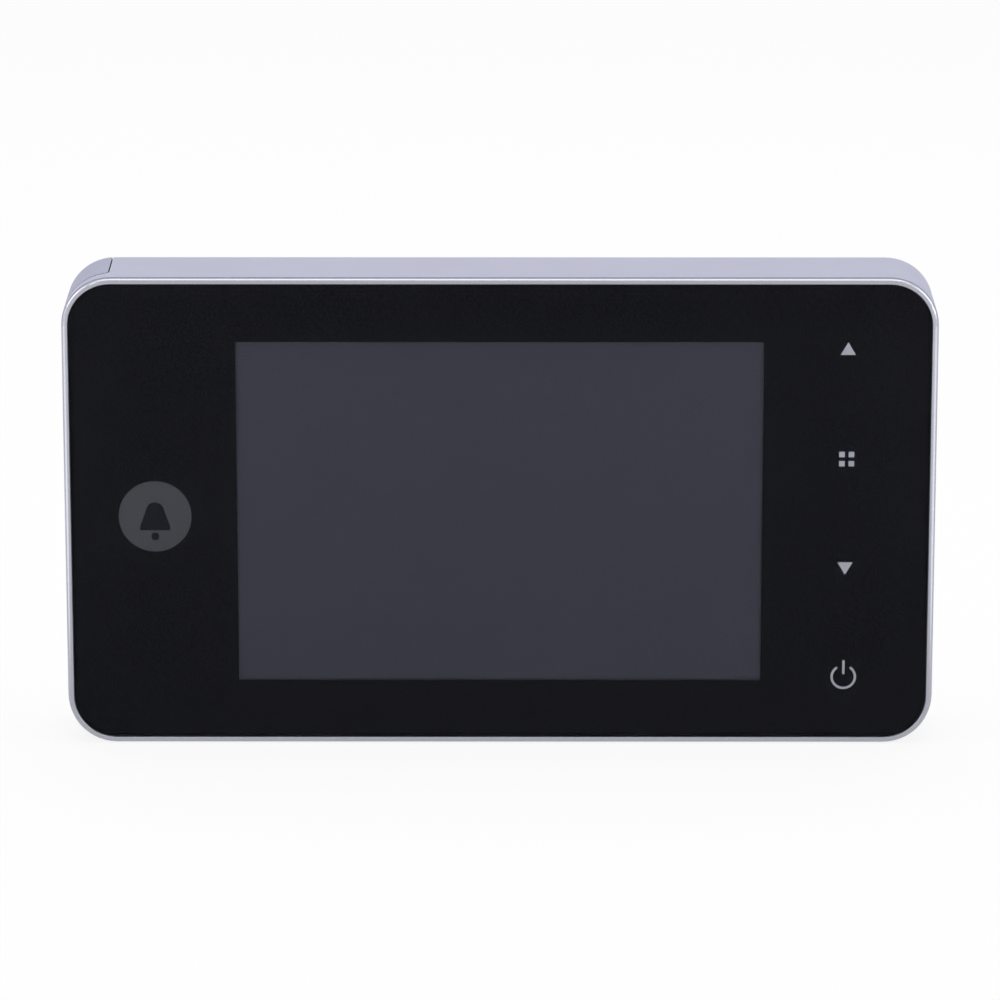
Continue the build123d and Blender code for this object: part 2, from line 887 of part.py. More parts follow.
def board_chips():
    """Processor and memory inside the shield can."""
    chips = []
    width = shield_width - 2 * chip_margin
    for rise_share, height_share in zip(chip_rise_shares, chip_height_shares):
        z, height = shield_height * rise_share, shield_height * height_share
        outline = Pos(shield_x, z) * Rectangle(width, height)
        chips.append(slab(outline, board_back_depth, board_back_depth + chip_thickness))
    return pieces(chips)


def power_parts():
    """Two coils and two capacitors of the power supply, at the left of the board."""
    parts = []
    half = coil_size / 2
    for sign in (-1, 1):
        z = sign * power_row_z
        far = board_back_depth + coil_thickness
        parts.append(block(power_row_x - half, power_row_x + half, board_back_depth, far, z - half, z + half))
        capacitor_z = z - sign * (half + 2 * capacitor_radius)
        far = board_back_depth + capacitor_length
        parts.append(disc(power_row_x, capacitor_z, capacitor_radius, board_back_depth, far))
    return pieces(parts)


def small_parts():
    """Two rows of small parts along the board."""
    parts = []
    far = board_back_depth + small_part_thickness
    for z in (-small_row_z, small_row_z):
        for index in range(small_part_count):
            x = small_row_x + index * small_part_pitch
            low, high = z - small_part_length / 2, z + small_part_length / 2
            parts.append(block(x, x + small_part_width, board_back_depth, far, low, high))
    return pieces(parts)


def latch_axis():
    """Depth and height of the line that the latch turns about."""
    height = socket_low_z + latch_length - latch_thickness / 2
    return socket_top_depth - latch_thickness / 2, height


def camera_socket():
    """Socket for the camera's flat cable, with ears for the latch's pins."""
    left, right = bracket_x - socket_width / 2, bracket_x + socket_width / 2
    high = socket_low_z + socket_length
    socket = block(left, right, board_back_depth, socket_top_depth, socket_low_z, high)
    mouth_near = board_back_depth + mouth_lift
    mouth_left, mouth_right = bracket_x - mouth_width / 2, bracket_x + mouth_width / 2
    mouth_far = mouth_near + mouth_height
    low = socket_low_z
    socket -= block(mouth_left, mouth_right, mouth_near, mouth_far, low, low + mouth_length)
    half = latch_width / 2 + latch_swing_gap
    near = socket_top_depth - latch_thickness - latch_swing_gap
    reach = low + latch_length + latch_swing_gap
    socket -= block(bracket_x - half, bracket_x + half, near, socket_top_depth, low, reach)
    return socket - latch_bar(latch_pin_radius + latch_pin_gap, latch_pin_reach + latch_swing_gap)


def latch_bar(radius, reach):
    """Round bar along the latch's axis, reaching past its ends."""
    depth, height = latch_axis()
    length = latch_width + 2 * reach
    plane = Plane(
        origin=(bracket_x - length / 2, at_depth(depth), body_height / 2 + height),
        x_dir=(0, 1, 0),
        z_dir=(1, 0, 0),
    )
    return extrude(plane * Circle(radius), amount=length)


def cable_latch():
    """Flip bar that clamps the flat cable: round at its axis, with a lip to lift it by."""
    left, right = bracket_x - latch_width / 2, bracket_x + latch_width / 2
    depth, height = latch_axis()
    near, far = socket_top_depth - latch_thickness, socket_top_depth
    latch = block(left, right, near, far, socket_low_z - latch_lip, height)
    latch += latch_bar(latch_thickness / 2, 0)
    return latch + latch_bar(latch_pin_radius, latch_pin_reach)


def camera_contacts():
    """Contact blades in the socket's mouth, each with a tail soldered to the board."""
    blades = []
    high = socket_low_z + socket_length
    for index in range(contact_count):
        x = bracket_x + (index - (contact_count - 1) / 2) * contact_pitch
        left, right = x - contact_width / 2, x + contact_width / 2
        tail_far = board_back_depth + contact_thickness
        blades.append(block(left, right, board_back_depth, tail_far, high, high + contact_tail))
    return pieces(blades)


def case_form(near):
    """Outer form of the casing from a depth to the back, with its round back edge."""
    form = slab(front_outline(0), near, body_depth)
    form = fillet(form.edges().group_by(Axis.Y)[-1], back_edge_radius)
    return fillet(form.edges().group_by(Axis.Y)[0], shoulder_radius)


def left_end(right, near, radius):
    """Space to the left of a place and behind a depth, round where the two meet."""
    reach = body_width / 2 + cut_overrun
    depth_reach, half = body_depth + cut_overrun, body_height / 2 + cut_overrun
    space = block(-reach, right, near, depth_reach, -half, half)
    corner = space.edges().filter_by(Axis.Z).group_by(Axis.X)[-1].group_by(Axis.Y)[0]
    return fillet(corner, radius)


def rear_housing():
    """Silver housing: walls, back, bay for the battery, neck under the cover, cable recess."""
    housing = case_form(housing_front_depth)
    housing -= left_end(housing_seam_x, housing_seam_depth, seam_corner_radius + seam_gap)
    riser_x = housing_seam_x + neck_wall
    half = body_height / 2
    neck = slab(front_outline(neck_inset), flange_back_depth, inner_back_depth)
    housing += neck & block(-half_width, riser_x, 0, inner_back_depth, -half, half)
    housing -= slab(front_outline(rim_thickness), 0, shoulder_front_depth)
    housing -= housing_cavity(riser_x)
    housing += bay_walls()
    housing -= cover_runners()
    housing += recess_walls()
    housing += board_posts()
    housing += screw_seats()
    housing += speaker_seat()
    housing += pinhole_tube()
    housing = housing - bay_space() - recess_space() - hook_slots() - screw_holes()
    return housing - grille_holes() - port_holes() - pinhole()


def housing_cavity(riser_x):
    """Hollow of the housing: full size behind the screen, drawn in at the neck and under the cover."""
    half = body_height / 2
    full = slab(front_outline(wall), shoulder_front_depth, inner_back_depth)
    full &= block(riser_x, half_width, 0, body_depth, -half, half)
    neck_back = inner_back_depth - floor_wall
    neck = slab(front_outline(neck_inner_inset), shoulder_front_depth, neck_back)
    floor_right = panel_right_x + seam_gap + end_tab_length + floor_wall
    floor_half = panel_height / 2 + tongue_width + slide_gap + floor_wall
    floor = block(riser_x, floor_right, neck_back, inner_back_depth, -floor_half, floor_half)
    return full - floor + neck


def bay_walls():
    """Walls and floor round the battery bay."""
    half = bay_height / 2 + bay_wall
    near = bay_floor_depth - bay_wall
    return block(bay_left_x - neck_wall, bay_right_x + bay_wall, near, inner_back_depth, -half, half)


def bay_space():
    """Room for the battery, open to the back, with a window for the contact springs."""
    half = bay_height / 2
    space = block(bay_left_x, bay_right_x, bay_floor_depth, body_depth, -half, half)
    window_half = contact_block_length / 2 - bay_wall
    reach = spring_radius + contact_window_margin
    near, far = spring_depth - reach, spring_depth + reach
    return space + block(bay_right_x, bay_right_x + bay_wall, near, far, -window_half, window_half)


def panel_outline(gap):
    """Outline of the cover's back panel, from past the left end to its round right corners."""
    left = -half_width - cut_overrun
    width, height = panel_right_x + gap - left, panel_height + 2 * gap
    outline = Pos(left + width / 2, 0) * rounded(width, height, panel_corner_radius + gap)
    return outline + Pos(left + width / 4, 0) * Rectangle(width / 2, height)


def cover_runners():
    """Opening for the cover's panel, with grooves for its tongues and end tab."""
    far = body_depth + cut_overrun
    space = slab(panel_outline(seam_gap), inner_back_depth, far)
    half = panel_height / 2 + tongue_width + slide_gap
    groove_far = body_depth - cover_thickness + tongue_thickness + slide_gap
    left, right = -half_width - cut_overrun, panel_right_x + seam_gap
    space += block(left, right, inner_back_depth, groove_far, -half, half)
    tab_right = panel_right_x + end_tab_length + seam_gap
    tab_half = end_tab_width / 2 + slide_gap
    return space + block(right, tab_right, inner_back_depth, groove_far, -tab_half, tab_half)


def recess_walls():
    """Walls and floor of the cable recess."""
    width, height = recess_width + 2 * recess_wall, recess_height + 2 * recess_wall
    outline = Pos(bracket_x, 0) * rounded(width, height, recess_radius + recess_wall)
    return slab(outline, recess_floor_depth - recess_wall, inner_back_depth)


def recess_space():
    """Recess for the barrel nut, with a window over the camera socket and its cable."""
    outline = Pos(bracket_x, 0) * rounded(recess_width, recess_height, recess_radius)
    space = slab(outline, recess_floor_depth, body_depth + cut_overrun)
    half = socket_width / 2 + socket_window_margin
    low = socket_low_z - cable_room
    high = socket_low_z + socket_length + contact_tail + socket_window_margin
    return space + block(bracket_x - half, bracket_x + half, board_depth, recess_floor_depth, low, high)


def board_posts():
    """Posts that the main board is screwed to."""
    posts = Part()
    for x, z in mirrored_places(board_screw_places):
        posts += disc(x, z, post_radius, board_back_depth, inner_back_depth)
    return posts


def screw_seats():
    """Tubes that take the heads of the case screws."""
    seats = Part()
    for x, z in mirrored_places(case_screw_places):
        radius = case_head_radius + head_gap + head_tube_wall
        seats += disc(x, z, radius, seat_front_depth, inner_back_depth)
    return seats & slab(front_outline(wall - press_gap), 0, body_depth)


def screw_holes():
    """Holes of the case screws and of the main board's screws."""
    holes = Part()
    for x, z in mirrored_places(case_screw_places):
        holes += disc(x, z, case_head_radius + head_gap, seat_back_depth, body_depth + cut_overrun)
        holes += disc(x, z, case_screw_radius + case_hole_gap, seat_front_depth, seat_back_depth)
    for x, z in mirrored_places(board_screw_places):
        far = board_back_depth + post_hole_length
        holes += disc(x, z, post_hole_radius, board_back_depth, far)
    return holes


def speaker_seat():
    """Ring that the speaker sits in."""
    inner = speaker_radius + speaker_ring_gap
    ring = Circle(inner + speaker_ring_wall) - Circle(inner)
    near = inner_back_depth - speaker_ring_length
    return slab(Pos(speaker_x, speaker_z) * ring, near, inner_back_depth)


def grille_places():
    """Places of the grille's holes, in rings of a six-sided pattern."""
    places = []
    for across in range(-grille_rings, grille_rings + 1):
        for along in range(-grille_rings, grille_rings + 1):
            if abs(across + along) <= grille_rings:
                x = grille_pitch * (across + along / 2)
                z = grille_pitch * along * math.sqrt(3) / 2
                places.append((speaker_x + x, speaker_z + z))
    return places


def grille_holes():
    """Small round holes in front of the speaker."""
    outline = Sketch() + [Pos(x, z) * Circle(grille_hole_radius) for x, z in grille_places()]
    return slab(outline, inner_back_depth, body_depth + cut_overrun)


def hook_places():
    """Middle x and the height of the stem's top face for each hook."""
    return [(bracket_x + side * hook_x, z) for side in (-1, 1) for z in (hook_upper_z, hook_lower_z)]


def hook_slots():
    """Slots in the back for the bracket's hooks."""
    slots = Part()
    half = hook_width / 2 + hook_side_gap
    for x, top in hook_places():
        low = top - bracket_thickness - hook_travel - bracket_gap
        slots += block(x - half, x + half, inner_back_depth, body_depth, low, top + bracket_gap)
    return slots


def port_holes():
    """Openings in the right wall for the USB port and the memory card, and the card's finger scoop."""
    half_wide, half_deep = usb_width / 2 + usb_hole_gap, usb_thickness / 2 + usb_hole_gap
    inner, outer = half_width - wall - cut_overrun, half_width + cut_overrun
    near, far = usb_depth - half_deep, usb_depth + half_deep
    holes = block(inner, outer, near, far, usb_z - half_wide, usb_z + half_wide)
    card_half = card_width / 2 + slot_gap
    near, far = card_front_depth - slot_gap, card_back_depth + slot_gap
    holes += block(inner, outer, near, far, card_z - card_half, card_z + card_half)
    middle = (card_front_depth + card_back_depth) / 2
    return holes + scoop(middle - scoop_width / 2, middle + scoop_width / 2)


def scoop(near, far):
    """Shallow round hollow across the card slot."""
    return disc(half_width - scoop_cut + scoop_radius, card_z, scoop_radius, near, far)


def pinhole_tube():
    """Tube that leads a pin to the reset button."""
    near = reset_top_depth() + pinhole_tube_gap
    return disc(reset_x, reset_z, pinhole_tube_radius, near, inner_back_depth)


def pinhole():
    """Hole for the pin."""
    near = reset_top_depth() + pinhole_tube_gap
    return disc(reset_x, reset_z, pinhole_radius, near, body_depth + cut_overrun)


def reset_top_depth():
    """Depth of the reset button's face."""
    return board_back_depth + reset_body_thickness + reset_button_height


def reset_switch():
    """Body of the reset switch, with a well for its button."""
    half = reset_body / 2
    far = board_back_depth + reset_body_thickness
    body = block(reset_x - half, reset_x + half, board_back_depth, far, reset_z - half, reset_z + half)
    well = reset_button_radius + reset_button_gap
    return body - disc(reset_x, reset_z, well, far - reset_button_height - reset_seat_gap, far)


def reset_button():
    """Round button of the reset switch."""
    near = board_back_depth + reset_body_thickness - reset_button_height
    return disc(reset_x, reset_z, reset_button_radius, near, reset_top_depth())


def battery_cover():
    """Cap over the left end, with a back panel that slides on two tongues."""
    cover = case_form(0) & left_end(cover_seam_x, cover_seam_depth, seam_corner_radius)
    inner = slab(front_outline(cover_thickness), 0, body_depth - cover_thickness)
    cover -= inner
    panel = slab(panel_outline(0), body_depth - cover_thickness, body_depth)
    panel &= block(cover_seam_x - back_edge_radius, half_width, 0, body_depth, -body_height, body_height)
    cover += panel
    near, far = body_depth - cover_thickness, body_depth - cover_thickness + tongue_thickness
    half = panel_height / 2
    right = panel_right_x - panel_corner_radius
    for low, high in ((-half - tongue_width, -half), (half, half + tongue_width)):
        cover += block(cover_seam_x, right, near, far, low, high)
    tab_half = end_tab_width / 2
    cover += block(panel_right_x, panel_right_x + end_tab_length, near, far, -tab_half, tab_half)
    return cover - grip_grooves()


def grip_grooves():
    """Grooves for the thumb that slides the cover."""
    outline = Sketch()
    for index in range(groove_count):
        x = groove_first_x + index * groove_pitch
        outline += Pos(x, 0) * Rot(0, 0, 90) * SlotOverall(groove_length, groove_width)
    return slab(outline, body_depth - groove_cut, body_depth + cut_overrun)


def battery_places():
    """Left and right face of the battery pack."""
    return battery_x - battery_width / 2, battery_x + battery_width / 2


def terminal_heights():
    """Heights of the battery's terminals."""
    return [terminal_pitch * (index - (terminal_count - 1) / 2) for index in range(terminal_count)]


def battery_terminals():
    """Gold pads in the side of the battery pack."""
    right = battery_places()[1]
    near, far = spring_depth - terminal_height / 2, spring_depth + terminal_height / 2
    half = terminal_width / 2
    return pieces(
        [block(right - terminal_thickness, right, near, far, z - half, z + half) for z in terminal_heights()]
    )


def battery_pack():
    """Flat rechargeable battery, round along its edges."""
    left, right = battery_places()
    half = battery_height / 2
    far = bay_floor_depth + battery_thickness
    pack = block(left, right, bay_floor_depth, far, -half, half)
    pack = fillet(pack.edges().filter_by(Axis.Z), battery_edge_radius)
    return pack - battery_terminals()


def contact_block():
    """Black block beside the bay that holds the contact springs."""
    left = bay_right_x + bay_wall
    half = contact_block_length / 2
    far = inner_back_depth - floor_wall - press_gap
    return block(left, left + contact_block_width, board_back_depth, far, -half, half)


def battery_contacts():
    """Bowed springs that press on the battery's terminals."""
    left = battery_places()[1]
    block_face = bay_right_x + bay_wall
    bow = Circle(spring_radius) - Circle(spring_radius - spring_thickness)
    bow = Pos(left + spring_radius, spring_depth) * bow
    reach = block_face - left
    keep = Pos(left + reach / 2, spring_depth) * Rectangle(reach, 2 * spring_radius)
    strip = extrude(top_profile(bow & keep), amount=spring_width / 2, both=True)
    return pieces([Pos(0, 0, z) * strip for z in terminal_heights()])


def usb_outline(inset):
    """Outline of the USB shell in height and depth."""
    return rounded(usb_thickness - 2 * inset, usb_width - 2 * inset, usb_corner_radius - inset)


def side_plane(x, depth, height):
    """Plane that faces right at a place in the right wall."""
    return Plane(origin=(x, at_depth(depth), body_height / 2 + height), x_dir=(0, 1, 0), z_dir=(1, 0, 0))


def usb_socket():
    """Steel shell of the micro USB port."""
    mouth = half_width - usb_recess
    plane = side_plane(mouth - usb_length, usb_depth, usb_z)
    shell = extrude(plane * usb_outline(0), amount=usb_length)
    hollow = Pos(usb_wall, 0, 0) * extrude(plane * usb_outline(usb_wall), amount=usb_length)
    return shell - hollow


def usb_tongue():
    """Tongue that carries the contacts of the USB port."""
    left = half_width - usb_recess - usb_length + usb_wall
    near = usb_depth - tongue_board_thickness / 2
    half = tongue_board_width / 2
    right = left + tongue_board_length
    return block(left, right, near, near + tongue_board_thickness, usb_z - half, usb_z + half)


def card_places():
    """Left and right end of the memory card when it is in."""
    right = half_width - card_recess
    return right - card_length, right


def card_socket():
    """Steel cage of the memory card's socket, open at its right end."""
    half = cage_width / 2
    right = board_right_x
    left = card_places()[0] - card_push - card_gap - cage_wall
    far = board_back_depth + cage_thickness
    low, high = card_z - half, card_z + half
    cage = block(left, right, board_back_depth, far, low, high)
    inner_low, inner_high = low + cage_wall, high - cage_wall
    near = board_back_depth + cage_wall
    return cage - block(left + cage_wall, right, near, far - cage_wall, inner_low, inner_high)


def memory_card():
    """Memory card with one corner cut off."""
    left, right = card_places()
    half = card_width / 2
    card = block(left, right, card_front_depth, card_back_depth, card_z - half, card_z + half)
    corner = card.edges().filter_by(Axis.Y).group_by(Axis.X)[0].group_by(Axis.Z)[-1]
    return chamfer(corner, card_corner)


def card_slider():
    """Sprung slider that carries the card in and out."""
    left = card_places()[0]
    high = card_z - card_width / 2
    right = left + slider_length
    return block(left, right, card_front_depth, card_back_depth, high - slider_width, high)


def speaker_frame():
    """Round basket of the speaker."""
    near, far = speaker_front_depth, speaker_back_depth
    ring = disc(speaker_x, speaker_z, speaker_radius, near, far)
    cup = disc(speaker_x, speaker_z, speaker_radius - speaker_wall, near + speaker_wall, far)
    return ring - cup - disc(speaker_x, speaker_z, magnet_radius, near, near + speaker_wall)


def speaker_magnet():
    """Magnet in the middle of the basket."""
    near = speaker_front_depth + speaker_wall - magnet_thickness
    return disc(speaker_x, speaker_z, magnet_radius, near, speaker_front_depth + speaker_wall)


def speaker_cone():
    """Thin cone with a raised dome, held at its edge in the basket."""
    far = speaker_back_depth - cone_gap
    radius = speaker_radius - speaker_wall
    cone = disc(speaker_x, speaker_z, radius, far - cone_thickness, far)
    dome_far = far - cone_thickness
    return cone + disc(speaker_x, speaker_z, cone_dome_radius, dome_far - cone_dome_rise, dome_far)


def speaker_gasket_ring():
    """Foam ring between the speaker and the housing's back."""
    ring = Circle(speaker_radius) - Circle(speaker_radius - speaker_gasket_width)
    return slab(Pos(speaker_x, speaker_z) * ring, speaker_back_depth, inner_back_depth)


def speaker_leads():
    """Two leads from the speaker's left edge to the main board."""
    leads = []
    depth = speaker_front_depth + speaker_wall / 2
    start_x = speaker_x - speaker_radius
    end_x = start_x - lead_run
    for side in (-1, 1):
        height = body_height / 2 + speaker_z + side * lead_pitch / 2
        places = [(start_x, depth), (end_x, depth), (end_x, board_back_depth)]
        points = [(x, at_depth(lead_depth), height) for x, lead_depth in places]
        path = FilletPolyline(*points, radius=lead_bend_radius)
        section = Plane(origin=points[0], z_dir=(-1, 0, 0)) * Circle(lead_radius)
        leads.append(sweep(section, path=path))
    return pieces(leads)


def case_screws():
    """Screws that close the casing from the back."""
    screws = []
    for x, z in mirrored_places(case_screw_places):
        head_far = seat_back_depth + case_head_thickness
        shank_front = boss_depth - insert_length
        shank = disc(x, z, case_screw_radius, shank_front, seat_back_depth)
        head = disc(x, z, case_head_radius, seat_back_depth, head_far)
        screws.append(shank + head - cross_recess(x, z, head_far, 1))
    return pieces(screws)


def case_inserts():
    """Brass inserts in the bosses of the front frame."""
    inserts = []
    for x, z in mirrored_places(case_screw_places):
        tube = Pos(x, z) * (Circle(insert_radius) - Circle(insert_bore_radius))
        inserts.append(slab(tube, boss_depth - insert_length, boss_depth))
    return pieces(inserts)


def hook(x, top):
    """Hook bent out of the bracket: a stem towards the unit and a finger that points up."""
    low, high = top - bracket_thickness, top + hook_rise
    near, far, plate = hook_finger_depth, hook_inner_depth, bracket_front_depth
    corners = [(plate, low), (plate, top), (far, top), (far, high), (near, high), (near, low)]
    bar = extrude(side_profile(corners), amount=hook_width / 2, both=True)
    bend = bar.edges().filter_by(Axis.X).group_by(Axis.Z)[0].group_by(Axis.Y)[0]
    return Pos(x, 0, 0) * fillet(bend, hook_bend_radius)


def door_bracket():
    """Steel plate with a hole for the camera's barrel, two screw holes and four hooks."""
    outline = Pos(bracket_x, 0) * rounded(bracket_width, bracket_height, bracket_radius)
    outline -= Pos(bracket_x, 0) * Circle(barrel_hole_radius)
    for side in (-1, 1):
        outline -= Pos(bracket_x + side * bracket_screw_pitch / 2, 0) * Circle(bracket_screw_radius)
    for x, top in hook_places():
        window = Rectangle(hook_width, hook_window_height)
        outline -= Pos(x, top + hook_window_height / 2) * window
    bracket = slab(outline, bracket_front_depth, total_depth)
    for x, top in hook_places():
        bracket += hook(x, top)
    return bracket


NODES = {
    "bezel_ring": bezel_ring,
    "front_glass": front_glass,
    "glass_print": glass_print,
    "key_symbols": key_symbols,
    "badge_disc": badge_disc,
    "badge_bell": badge_bell,
    "glass_tape": glass_tape,
    "display_gasket": display_gasket,
    "front_frame": front_frame,
    "lcd_polariser": lcd_polariser,
    "lcd_cell": lcd_cell,
    "backlight_tray": backlight_tray,
    "lcd_backplate": lcd_backplate,
    "display_screws": display_screws,
    "lcd_flex": lcd_flex,
    "lcd_connector": lcd_connector,
    "key_board": key_board,
    "key_diffusers": key_diffusers,
    "key_lamps": key_lamps,
    "touch_chip": touch_chip,
    "touch_flex": touch_flex,
    "touch_connector": touch_connector,
    "main_board": main_board,
    "board_screws": board_screws,
    "shield_can": shield_can,
    "board_chips": board_chips,
    "power_parts": power_parts,
    "small_parts": small_parts,
    "camera_socket": camera_socket,
    "camera_contacts": camera_contacts,
    "cable_latch": cable_latch,
    "usb_socket": usb_socket,
    "usb_tongue": usb_tongue,
    "card_socket": card_socket,
    "card_slider": card_slider,
    "memory_card": memory_card,
    "reset_switch": reset_switch,
    "reset_button": reset_button,
    "speaker_frame": speaker_frame,
    "speaker_magnet": speaker_magnet,
    "speaker_cone": speaker_cone,
    "speaker_gasket": speaker_gasket_ring,
    "speaker_leads": speaker_leads,
    "battery_pack": battery_pack,
    "battery_terminals": battery_terminals,
    "contact_block": contact_block,
    "battery_contacts": battery_contacts,
    "rear_housing": rear_housing,
    "battery_cover": battery_cover,
    "case_screws": case_screws,
    "case_inserts": case_inserts,
    "door_bracket": door_bracket,
}


def main():
    """Write one STEP file for each node."""
    os.makedirs("parts", exist_ok=True)
    for name, make in NODES.items():
        shape = make()
        shape.label = name
        export_step(shape, f"parts/{name}.step")


if __name__ == "__main__":
    main()
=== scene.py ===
import math

import bmesh
import bpy
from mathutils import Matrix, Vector


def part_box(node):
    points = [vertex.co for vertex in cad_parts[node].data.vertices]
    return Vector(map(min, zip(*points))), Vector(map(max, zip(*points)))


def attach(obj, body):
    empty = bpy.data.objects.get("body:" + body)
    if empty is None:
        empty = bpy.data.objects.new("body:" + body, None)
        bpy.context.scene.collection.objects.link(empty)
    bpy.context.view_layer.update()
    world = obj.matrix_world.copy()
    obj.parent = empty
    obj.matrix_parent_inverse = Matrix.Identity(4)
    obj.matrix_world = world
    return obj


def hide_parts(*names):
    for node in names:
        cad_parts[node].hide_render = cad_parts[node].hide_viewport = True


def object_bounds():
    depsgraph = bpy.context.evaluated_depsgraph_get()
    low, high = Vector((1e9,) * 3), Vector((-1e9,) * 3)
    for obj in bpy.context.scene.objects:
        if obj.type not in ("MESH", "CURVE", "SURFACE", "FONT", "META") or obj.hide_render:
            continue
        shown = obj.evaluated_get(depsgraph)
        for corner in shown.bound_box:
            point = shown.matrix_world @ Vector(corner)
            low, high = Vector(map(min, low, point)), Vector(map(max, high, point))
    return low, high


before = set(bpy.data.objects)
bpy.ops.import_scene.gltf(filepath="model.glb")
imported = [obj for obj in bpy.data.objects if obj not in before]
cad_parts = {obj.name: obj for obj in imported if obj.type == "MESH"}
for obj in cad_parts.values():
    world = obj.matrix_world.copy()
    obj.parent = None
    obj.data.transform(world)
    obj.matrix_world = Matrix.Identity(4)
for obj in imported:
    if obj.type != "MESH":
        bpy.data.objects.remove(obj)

bl_info = {
    "name": "Door Camera Monitor",
    "version": (1, 0, 0),
    "blender": (4, 5, 0),
    "location": "3D View > Sidebar > Door Monitor",
    "description": "Finishes for the indoor monitor of a peephole door camera, and a studio to show it in",
    "category": "Object",
}

MM = 0.001
CAD_LOW, CAD_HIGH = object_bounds()
WHITE = (1.0, 1.0, 1.0, 1.0)
MERGE_DISTANCE = 0.001 * MM  # points nearer to each other than this are one
FLOOR_DROP = 0.02 * MM  # how far the floor lies under the object, so that their faces stay apart
LAMP_TARGET = (0.0, 0.0, 0.03)  # where the soft lamps look: a little below the middle of the front
SENSOR_WIDTH_MM = 36.0
WAVE_RADIANS = 20  # turn of a straight wave texture's phase over one unit of its place


# Colours and nodes


def linear(hex_colour):
    """Linear colour, with alpha 1, from an sRGB hex string such as BDBFD1."""
    channels = [int(hex_colour[at:at + 2], 16) / 255 for at in (0, 2, 4)]
    return (*[c / 12.92 if c <= 0.04045 else ((c + 0.055) / 1.055) ** 2.4 for c in channels], 1.0)


def shade(colour, factor):
    """Colour made darker or lighter by a factor."""
    return (*[min(1.0, c * factor) for c in colour[:3]], 1.0)


def colour_property(name, description, hex_colour):
    """Colour that a user can change, with its default from an sRGB hex string."""
    return bpy.props.FloatVectorProperty(
        name=name, description=description, default=linear(hex_colour), subtype="COLOR", size=4,
        min=0.0, max=1.0
    )


def length_property(name, description, size_mm):
    """Length that a user can change, with its default in millimetres."""
    return bpy.props.FloatProperty(name=name, description=description, unit="LENGTH", default=size_mm * MM)


def per_metre(size_mm):
    """Scale of a texture whose features are this many millimetres across."""
    return 1 / (size_mm * MM)


def wave_scale(pitch_mm):
    """Scale of a wave texture whose straight waves are this many millimetres apart."""
    return per_metre(pitch_mm) * math.tau / WAVE_RADIANS


def add_node(tree, kind, settings=None, values=None, links=None):
    """Node with its settings, the values of its inputs and the sockets that feed them."""
    node = tree.nodes.new(kind)
    for name, value in (settings or {}).items():
        setattr(node, name, value)
    for name, value in (values or {}).items():
        node.inputs[name].default_value = value
    for name, socket in (links or {}).items():
        tree.links.new(socket, node.inputs[name])
    return node


def new_material(name):
    """Empty node material, its node tree and the place on the piece that its patterns follow."""
    material = bpy.data.materials.new(name)
    material.use_nodes = True
    material.node_tree.nodes.clear()
    tree = material.node_tree
    return material, tree, add_node(tree, "ShaderNodeTexCoord").outputs["Object"]


def close_material(tree, shader):
    """Material output for a shader."""
    add_node(tree, "ShaderNodeOutputMaterial", links={"Surface": shader.outputs[0]})


def stretched(tree, place, stretch):
    """Place with its axes stretched, so that a pattern runs long along an axis below 1."""
    return add_node(tree, "ShaderNodeMapping", None, {"Scale": stretch}, {"Vector": place}).outputs[0]


def cloudy(tree, place, size_mm, detail=3.0):
    """Soft noise whose patches are this many millimetres across."""
    values = {"Scale": per_metre(size_mm), "Detail": detail, "Roughness": 0.55}
    return add_node(tree, "ShaderNodeTexNoise", None, values, {"Vector": place}).outputs[0]


def blended(tree, share, first, second):
    """Colour that goes from the first to the second with a share. Either may be a socket or a colour."""
    values = {at: c for at, c in ((6, first), (7, second)) if not isinstance(c, bpy.types.NodeSocket)}
    links = {at: c for at, c in ((6, first), (7, second)) if isinstance(c, bpy.types.NodeSocket)}
    return add_node(tree, "ShaderNodeMix", {"data_type": "RGBA"}, values, {0: share, **links}).outputs[2]


def between(tree, value, low, high, start=0.3, end=0.7):
    """Number that goes from low to high while a value goes from start to end."""
    values = {"From Min": start, "From Max": end, "To Min": low, "To Max": high}
    return add_node(tree, "ShaderNodeMapRange", None, values, {"Value": value}).outputs[0]


def drifting(tree, place, colour, spread, size_mm):
    """Colour that drifts a little darker and lighter over patches of a size."""
    share = between(tree, cloudy(tree, place, size_mm), 0.0, 1.0)
    return blended(tree, share, shade(colour, 1 - spread), shade(colour, 1 + spread))


def bumped(tree, height, depth_mm):
    """Normal of a surface with a relief of a depth."""
    values = {"Strength": 1.0, "Distance": depth_mm * MM}
    return add_node(tree, "ShaderNodeBump", None, values, {"Height": height}).outputs[0]


# Finishes


def moulded(name, colour, roughness=0.5, spread=0.05, patch_mm=5.0, grain_mm=0.3, grain_depth_mm=0.006,
            specular=0.5):
    """Moulded plastic: a slightly uneven colour and the fine grain of the mould."""
    material, tree, place = new_material(name)
    grain = cloudy(tree, place, grain_mm, 2.0)
    links = {
        "Base Color": drifting(tree, place, colour, spread, patch_mm),
        "Roughness": between(tree, cloudy(tree, place, patch_mm / 2), roughness - 0.04, roughness + 0.04),
        "Normal": bumped(tree, grain, grain_depth_mm),
    }
    values = {"Specular IOR Level": specular}
    close_material(tree, add_node(tree, "ShaderNodeBsdfPrincipled", None, values, links))
    return material


def printed(name, colour):
    """Screen-printed ink: dull and even, with the faint weave of the screen in its thickness."""
    material, tree, place = new_material(name)
    # Diagonal waves are 1.4 times as far apart as straight ones: 0.25 mm, the pitch of the screen's threads
    values = {"Scale": wave_scale(0.18), "Detail": 0.0}
    weave = add_node(tree, "ShaderNodeTexWave", {"bands_direction": "DIAGONAL"}, values, {"Vector": place})
    links = {
        "Base Color": drifting(tree, place, colour, 0.03, 3.0),
        "Normal": bumped(tree, weave.outputs[0], 0.0005),
    }
    values = {"Roughness": 0.6, "Specular IOR Level": 0.03}
    close_material(tree, add_node(tree, "ShaderNodeBsdfPrincipled", None, values, links))
    return material


